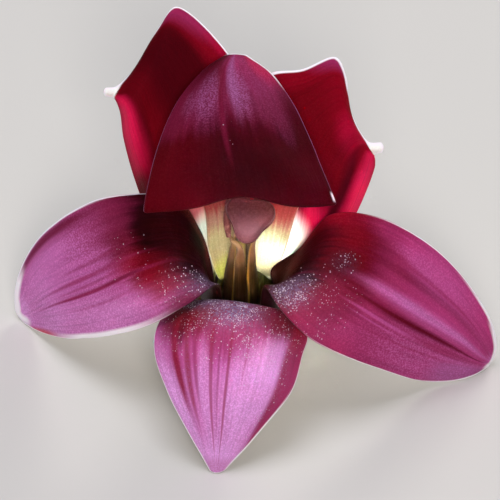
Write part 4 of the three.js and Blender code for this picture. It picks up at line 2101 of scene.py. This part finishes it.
# The hood: a pale claw that folds forward into a dark arch over the column
HOOD = Tepal(
    name="inner_tepal_top",
    whorl=Whorl.INNER,
    around=90,
    rows=(
        ((8, 8, -19.5), (0.5, 10.7, -21.6), (-7.5, 8, -19.5)),
        ((10.5, 16, -14.5), (0.5, 18.5, -16.5), (-8.5, 16.5, -14.5)),
        ((14, 22.5, -8), (0.5, 24.5, -8), (-12.5, 22.5, -8)),
        ((15.2, 22, -3), (0, 22.5, 2.5), (-17.5, 21.5, -3)),
        ((18.2, 17.2, 0), (9.5, 16.8, 5), (-1.2, 18.9, 7), (-10.5, 16.5, 4.6), (-20.4, 15.6, 0)),
        ((17.2, 19.5, 0), (8.5, 20.4, 6.6), (-2, 22, 8.5), (-11.5, 20, 6.2), (-19.8, 20, 0)),
        ((13.8, 28.3, -2), (-4, 30, 5.5), (-17.4, 29, -2)),
        ((10.1, 36.3, -5), (-4.8, 37.5, 0.5), (-13.8, 37.4, -5)),
        ((5.4, 43, -9), (-4.4, 43.5, -6), (-8.4, 43.8, -9.5)),
        ((0, 47, -13), (-2.6, 47.2, -12.5), (-4.6, 46.5, -13)),
    ),
    skin=TepalSkin(
        ramp=(
            (0, Pigment.YELLOW_GREEN),
            (31, Pigment.YELLOW_GREEN),
            (35, Pigment.STRAW),
            (38.5, Pigment.STRAW),
            (42.5, Pigment.TAN),
            (46, Pigment.BRICK),
            (64, Pigment.MAROON),
            (85, Pigment.MAROON),
            (96, Pigment.WINE),
            (106, Pigment.WINE),
        ),
        stains=(
            Stain(Pigment.IVORY, Spot(0.02, 32, 0.12, 5), 0.9),
            Stain(Pigment.CREAM, Spot(0.2, 31, 0.24, 6.5), 0.9),
            Stain(Pigment.YELLOW_GREEN, Spot(0.24, 28.5, 0.2, 3.5, softness=0.8), 0.2),
            Stain(Pigment.BRICK, Spot(0.12, 45.5, 0.16, 4), 0.9),
            Stain(Pigment.OXBLOOD, Spot(0.92, 79, 0.3, 9, softness=0.9), 0.7),
            # Painted shade: near-black where the lip curls under the arch
            Stain(Pigment.BLACK_MAROON, Spot(0.44, 78, 0.3, 7.5, softness=0.9), 0.8),
            Stain(Pigment.WINE, Spot(0.88, 90, 0.16, 4), 0.8),
            # Partly the hood's own wine and plum, partly painted sheen: the plum and mauve patches
            # stand in for the sky's soft reflection on the upper limb
            Stain(Pigment.PLUM, Spot(0.65, 95, 0.16, 7), 0.6, broken=0.5),
            Stain(Pigment.MAUVE, Spot(0.64, 97, 0.1, 6), 0.45, broken=0.85),
            Stain(Pigment.MAUVE, Spot(0.8, 94, 0.07, 3), 0.2, broken=0.8),
            Stain(Pigment.MAGENTA, Spot(0.2, 104, 0.24, 7), 0.75, broken=0.4),
            Stain(Pigment.CRIMSON, Spot(0.05, 107, 0.12, 6), 0.45),
            Stain(Pigment.MAGENTA, Spot(0.42, 109, 0.16, 4), 0.6),
            Stain(Pigment.PLUM, Spot(0.27, 97, 0.2, 6), 0.6, broken=0.6),
            Stain(Pigment.MAUVE, Spot(0.34, 98, 0.06, 6), 0.5, broken=0.8),
            Stain(Pigment.PLUM, Spot(0.13, 90, 0.06, 4), 0.35, broken=0.6),
            # Painted highlight right of the groove
            Stain(Pigment.MAUVE, stripe((0.39, 93), (0.43, 111), 0.045), 0.7, broken=0.45),
            # Painted shade on the upper left shoulder
            Stain(Pigment.MAROON, Spot(0.85, 108, 0.24, 8, softness=0.9), 0.9),
            Stain(Pigment.WINE, stripe((0.5, 85), (0.52, 111), 0.022), 0.95),
            Stain(Pigment.MAROON, stripe((0.03, 76), (0.03, 99), 0.06), 0.8),
        ),
        dust=(Dusting(Spot(0.47, 88.5, 0.04, 3, softness=0.9), 0.04, 0.0),),
        rims=(
            PaleRim(Spot(0.0, 106, 0.3, 5), 0.35),
            PaleRim(Spot(0.3, 111, 0.4, 3), 0.35),
            PaleRim(Spot(0.0, 75.4, 0.1, 1.1), 0.6),
        ),
        margin=Pigment.MAUVE,
        margin_width=0.2,
        margin_from=78,
        seed=4.0,
    ),
    ridges=(Ridge(0.5, 0.51, 80, 111, -0.12, 0.03),),
    back=TepalBack(seed=4.0),
    edge=TepalEdge(
        ramp=(
            (32, Pigment.CREAM),
            (38, Pigment.STRAW),
            (43, Pigment.TAN),
            (48, Pigment.BRICK),
            (68, Pigment.MAUVE),
            (96, Pigment.MAUVE),
            (103, Pigment.SHELL),
        )
    ),
    steps_along=168,
    seed=4.0,
)
# The left arm: nearly black at its claw, then pink and lilac with grooved veins
LEFT = Tepal(
    name="inner_tepal_left",
    whorl=Whorl.INNER,
    around=210,
    rows=(
        ((-7.2, 5.6, -18), (-8.6, -2, -17), (-4.4, -6.4, -17)),
        ((-9.6, 12.5, -13), (-8.6, 3.5, -5.5), (-5.8, 0.8, -3.5)),
        ((-14, 18.3, -10), (-13, 5.5, -2), (-11, -2.6, -2.5)),
        ((-24, 19.2, -12.5), (-20, 4, -6), (-19, -7.1, -8.5)),
        ((-34.3, 16.5, -24), (-30, 0, -18), (-29, -9.7, -20)),
        ((-43.5, 8.9, -36), (-39.5, -3, -31.5), (-38, -9.9, -33.5)),
        ((-47.3, 0, -43), (-43.9, -5, -40.9), (-43, -8.4, -41.4)),
        ((-47.2, -4.5, -45.4), (-46.4, -5.9, -45.3), (-45.2, -7, -44.4)),
    ),
    skin=TepalSkin(
        ramp=(
            (0, Pigment.YELLOW_GREEN),
            (28, Pigment.OLIVE),
            (38, Pigment.UMBER),
            (52, Pigment.UMBER),
            (61, Pigment.BLACK_MAROON),
            (67, Pigment.MAROON),
            (72, Pigment.WINE),
            (78, Pigment.ROSE),
            (88, Pigment.PINK),
            (104, Pigment.ORCHID),
        ),
        stains=(
            Stain(Pigment.RUBY, Spot(0.1, 82, 0.24, 10), 0.85),
            # The orchid and lilac patches are partly the limb's own colour and partly painted sheen
            # from the sky
            Stain(Pigment.ORCHID, Spot(0.55, 98, 0.6, 22, softness=0.4), 0.5, broken=0.8),
            Stain(Pigment.PINK, Spot(0.84, 78, 0.25, 15), 0.8),
            Stain(Pigment.ORCHID, Spot(0.84, 80, 0.18, 14), 0.8, broken=0.4),
            Stain(Pigment.ORCHID, Spot(0.24, 96, 0.16, 10), 0.5, broken=0.7),
            Stain(Pigment.LILAC, Spot(0.6, 110, 0.4, 9), 0.35, broken=0.8),
            Stain(Pigment.LILAC, Spot(0.8, 92, 0.24, 20), 0.4, broken=0.4),
            Stain(Pigment.LILAC, Spot(0.3, 118, 0.5, 4.5), 0.6),
            Stain(Pigment.ORCHID, Spot(0.4, 86, 0.14, 6), 0.3, broken=0.6),
            Stain(Pigment.RUBY, stripe((0.07, 86), (0.07, 112), 0.04), 0.5, broken=0.2),
            Stain(Pigment.WINE, stripe((0.05, 83), (0.045, 113), 0.026), 0.85),
            Stain(Pigment.BLACK_MAROON, Spot(0.24, 62.5, 0.3, 9.5, turn=-8, softness=0.65), 1.0),
            Stain(Pigment.BLACK_MAROON, Spot(0.43, 64.5, 0.15, 8, softness=0.7), 1.0),
            Stain(Pigment.BLACK_MAROON, Spot(0.38, 66, 0.14, 5, softness=0.8), 0.7),
            Stain(Pigment.WINE, Spot(0.12, 76, 0.13, 5, softness=0.9), 0.6),
            Stain(Pigment.BLACK_MAROON, Spot(0.26, 66, 0.18, 6, softness=0.3), 0.9),
            Stain(Pigment.OXBLOOD, Spot(0.3, 76, 0.09, 4, softness=0.9), 0.8),
            Stain(Pigment.BLOOD, Spot(0.43, 74.5, 0.07, 5, softness=0.9), 0.7),
            Stain(Pigment.OXBLOOD, Spot(0.52, 68, 0.1, 4, softness=0.9), 0.8),
            Stain(Pigment.BLOOD, Spot(0.58, 71, 0.08, 3.5, softness=0.9), 0.6),
            Stain(Pigment.BLOOD, Spot(0.7, 66.5, 0.1, 4, softness=0.9), 0.75),
            Stain(Pigment.WINE, Spot(0.9, 63, 0.1, 3.5, softness=0.8), 0.7),
            Stain(Pigment.RUSSET, Spot(0.03, 54, 0.07, 8), 1.0, broken=0.7),
            Stain(Pigment.RUBY, stripe((0.49, 70), (0.53, 106), 0.018), 0.95),
            Stain(Pigment.WINE, stripe((0.49, 70), (0.5, 84), 0.012), 0.6),
            Stain(Pigment.RUBY, stripe((0.38, 74), (0.42, 104), 0.018), 0.7),
            Stain(Pigment.RUBY, stripe((0.3, 74), (0.33, 96), 0.012), 0.45),
            Stain(Pigment.RUBY, stripe((0.44, 78), (0.47, 98), 0.01), 0.45),
            Stain(Pigment.MAGENTA, stripe((0.62, 73), (0.64, 98), 0.014), 0.4),
            Stain(Pigment.SALMON, Spot(1.0, 110, 0.12, 6), 0.9),
        ),
        dust=(
            Dusting(Spot(0.8, 58, 0.16, 3.5, softness=0.8), 0.2, 0.45),
            Dusting(Spot(0.7, 64, 0.18, 3.5, softness=0.7), 0.12, 0.08),
            Dusting(Spot(0.5, 74, 0.2, 5, softness=0.9), 0.03, 0.0),
        ),
        rims=(
            PaleRim(Spot(0.0, 100, 0.3, 17), 0.3),
            PaleRim(Spot(0.1, 114.5, 0.4, 5), 1.5),
            PaleRim(Spot(1.0, 86, 0.3, 15), 0.85),
            PaleRim(Spot(0.3, 117.5, 0.6, 2.2), 1.6),
        ),
        margin_from=68,
        seed=5.0,
    ),
    ridges=(
        Ridge(0.49, 0.53, 66, 112, -0.35, 0.022),
        Ridge(0.44, 0.48, 66, 112, 0.25, 0.03),
        Ridge(0.38, 0.42, 74, 108, -0.2, 0.025),
        Ridge(0.62, 0.64, 72, 104, -0.12, 0.02),
    ),
    # The dark claw on the back is painted shade in the gap under the arm
    back=TepalBack(claw=Pigment.BLACK_MAROON, seed=5.0),
    edge=TepalEdge(ramp=((58, Pigment.UMBER), (70, Pigment.BLUSH), (80, Pigment.SHELL))),
    seed=5.0,
)
# The right arm: nearly black at its claw, then rosy, with a deep groove beside a ridge
RIGHT = Tepal(
    name="inner_tepal_right",
    whorl=Whorl.INNER,
    around=330,
    rows=(
        ((2.6, -7.2, -17), (7.6, -2.6, -17), (5.4, 4.3, -18)),
        ((3.8, 0.5, -3.5), (8.2, 2, -4.8), (11.2, 8.3, -12)),
        ((6.6, -3.6, -1), (14, 4, -1.5), (17, 14.9, -8.5)),
        ((13, -10, -4.5), (21.5, 1, -5), (26, 14.8, -9.5)),
        ((26, -15.8, -15), (31.5, -5, -12.5), (38.6, 8, -16)),
        ((38, -18.9, -27.5), (41.7, -10.8, -22.5), (48.7, -4, -26)),
        ((46, -17.7, -30.6), (47.6, -14.4, -29.3), (51.1, -11.1, -31.5)),
        ((49.4, -15.8, -33.1), (50, -15, -33.3), (50.5, -14, -33.2)),
    ),
    skin=TepalSkin(
        ramp=(
            (0, Pigment.YELLOW_GREEN),
            (28, Pigment.OLIVE),
            (38, Pigment.UMBER),
            (52, Pigment.UMBER),
            (60, Pigment.MAROON),
            (67, Pigment.GARNET),
            (73, Pigment.WINE),
            (80, Pigment.RUBY),
            (96, Pigment.ROSE),
        ),
        stains=(
            Stain(Pigment.RUBY, Spot(0.12, 72, 0.22, 8), 0.85),
            Stain(Pigment.RUBY, Spot(0.97, 78, 0.1, 9), 0.8),
            Stain(Pigment.ROSE, Spot(0.86, 94, 0.14, 12), 0.8),
            # Partly the limb's own rose and pink, partly painted sheen from the sky
            Stain(Pigment.PINK, Spot(0.9, 90, 0.1, 9), 0.85, broken=0.5),
            Stain(Pigment.ORCHID, Spot(0.86, 87, 0.05, 8), 0.4, broken=0.7),
            Stain(Pigment.ROSE, Spot(0.22, 86, 0.2, 14), 0.6, broken=0.4),
            Stain(Pigment.ORCHID, Spot(0.22, 98, 0.22, 14), 0.4, broken=0.9),
            Stain(Pigment.PINK, Spot(0.2, 106, 0.2, 8), 0.5, broken=0.5),
            Stain(Pigment.MAROON, Spot(0.72, 60, 0.25, 7), 0.9),
            Stain(Pigment.BLOOD, Spot(0.97, 65, 0.07, 6, softness=0.9), 0.8),
            Stain(Pigment.BLACK_MAROON, Spot(0.53, 63, 0.19, 5.5), 1.0),
            Stain(Pigment.OXBLOOD, Spot(0.68, 69, 0.3, 5), 1.0),
            Stain(Pigment.BLACK_MAROON, Spot(0.74, 62.5, 0.16, 4, softness=0.8), 0.6),
            Stain(Pigment.MAROON, Spot(0.57, 67.5, 0.12, 3, softness=0.9), 0.8),
            Stain(Pigment.ORCHID, Spot(0.62, 117, 0.4, 4), 0.7),
            Stain(Pigment.WINE, Spot(0.33, 70, 0.18, 5), 0.7),
            # Painted highlight along the ridge beside the groove, over its own rose
            Stain(Pigment.PINK, stripe((0.565, 77), (0.6, 114), 0.055), 0.95),
            Stain(Pigment.ORCHID, stripe((0.57, 78), (0.6, 110), 0.03), 0.9, broken=0.3),
            Stain(Pigment.PINK, stripe((0.38, 74), (0.37, 92), 0.012), 0.8),
            Stain(Pigment.PINK, stripe((0.34, 75), (0.33, 88), 0.007), 0.6),
            Stain(Pigment.WINE, stripe((0.46, 68), (0.46, 114), 0.034), 0.95),
            Stain(Pigment.OXBLOOD, stripe((0.46, 69), (0.46, 100), 0.014), 0.6),
            Stain(Pigment.RUBY, stripe((0.38, 90), (0.37, 112), 0.04), 0.7),
            Stain(Pigment.WINE, stripe((0.74, 72), (0.73, 106), 0.03), 0.4),
            Stain(Pigment.FUCHSIA, Spot(0.93, 95, 0.13, 17), 0.6),
            Stain(Pigment.FUCHSIA, Spot(0.66, 94, 0.06, 14), 0.4),
            Stain(Pigment.MAUVE, Spot(0.1, 108, 0.22, 8), 0.6),
            Stain(Pigment.PINK, Spot(0.86, 93, 0.1, 8, softness=0.9), 0.45),
            Stain(Pigment.RUBY, stripe((0.8, 76), (0.79, 104), 0.012), 0.5),
            Stain(Pigment.RUBY, stripe((0.27, 74), (0.28, 104), 0.01), 0.5),
        ),
        dust=(
            Dusting(Spot(0.2, 61.5, 0.18, 4, softness=0.6), 0.5, 0.6),
            Dusting(Spot(0.62, 68.5, 0.07, 2.5, softness=0.9), 0.12, 0.1),
            Dusting(Spot(0.25, 67, 0.25, 6, softness=0.9), 0.1, 0.05),
        ),
        rims=(
            PaleRim(Spot(1.0, 108, 0.4, 12), 0.4),
            PaleRim(Spot(1.0, 112, 0.4, 6), 0.9),
            PaleRim(Spot(0.0, 108, 0.2, 8), 0.2),
            PaleRim(Spot(0.5, 116, 1.0, 2), 0.9),
        ),
        margin_from=74,
        seed=6.0,
    ),
    ridges=(
        Ridge(0.46, 0.46, 66, 114, -0.7, 0.035),
        Ridge(0.58, 0.6, 68, 112, 0.55, 0.06),
        Ridge(0.7, 0.69, 74, 106, -0.25, 0.03),
        Ridge(0.37, 0.37, 72, 100, 0.2, 0.025),
    ),
    # The dark claw on the back is painted shade in the gap under the arm
    back=TepalBack(claw=Pigment.BLACK_MAROON, seed=6.0),
    edge=TepalEdge(ramp=((60, Pigment.UMBER), (76, Pigment.RUBY), (88, Pigment.SHELL))),
    seed=6.0,
)


def main() -> None:
    """Builds the studio and the flower, and reports each piece."""
    logging.basicConfig(level=logging.INFO, format="%(name)s: %(message)s")
    Studio().build()
    perianth = Perianth((BOTTOM, UPPER_LEFT, UPPER_RIGHT, HOOD, LEFT, RIGHT))
    for assembly in (perianth, Stamens(), Pistil(), Pedicel()):
        for piece in assembly.build():
            LOG.info("%s: %d faces", piece.name, len(piece.data.polygons))


if __name__ == "__main__":
    main()
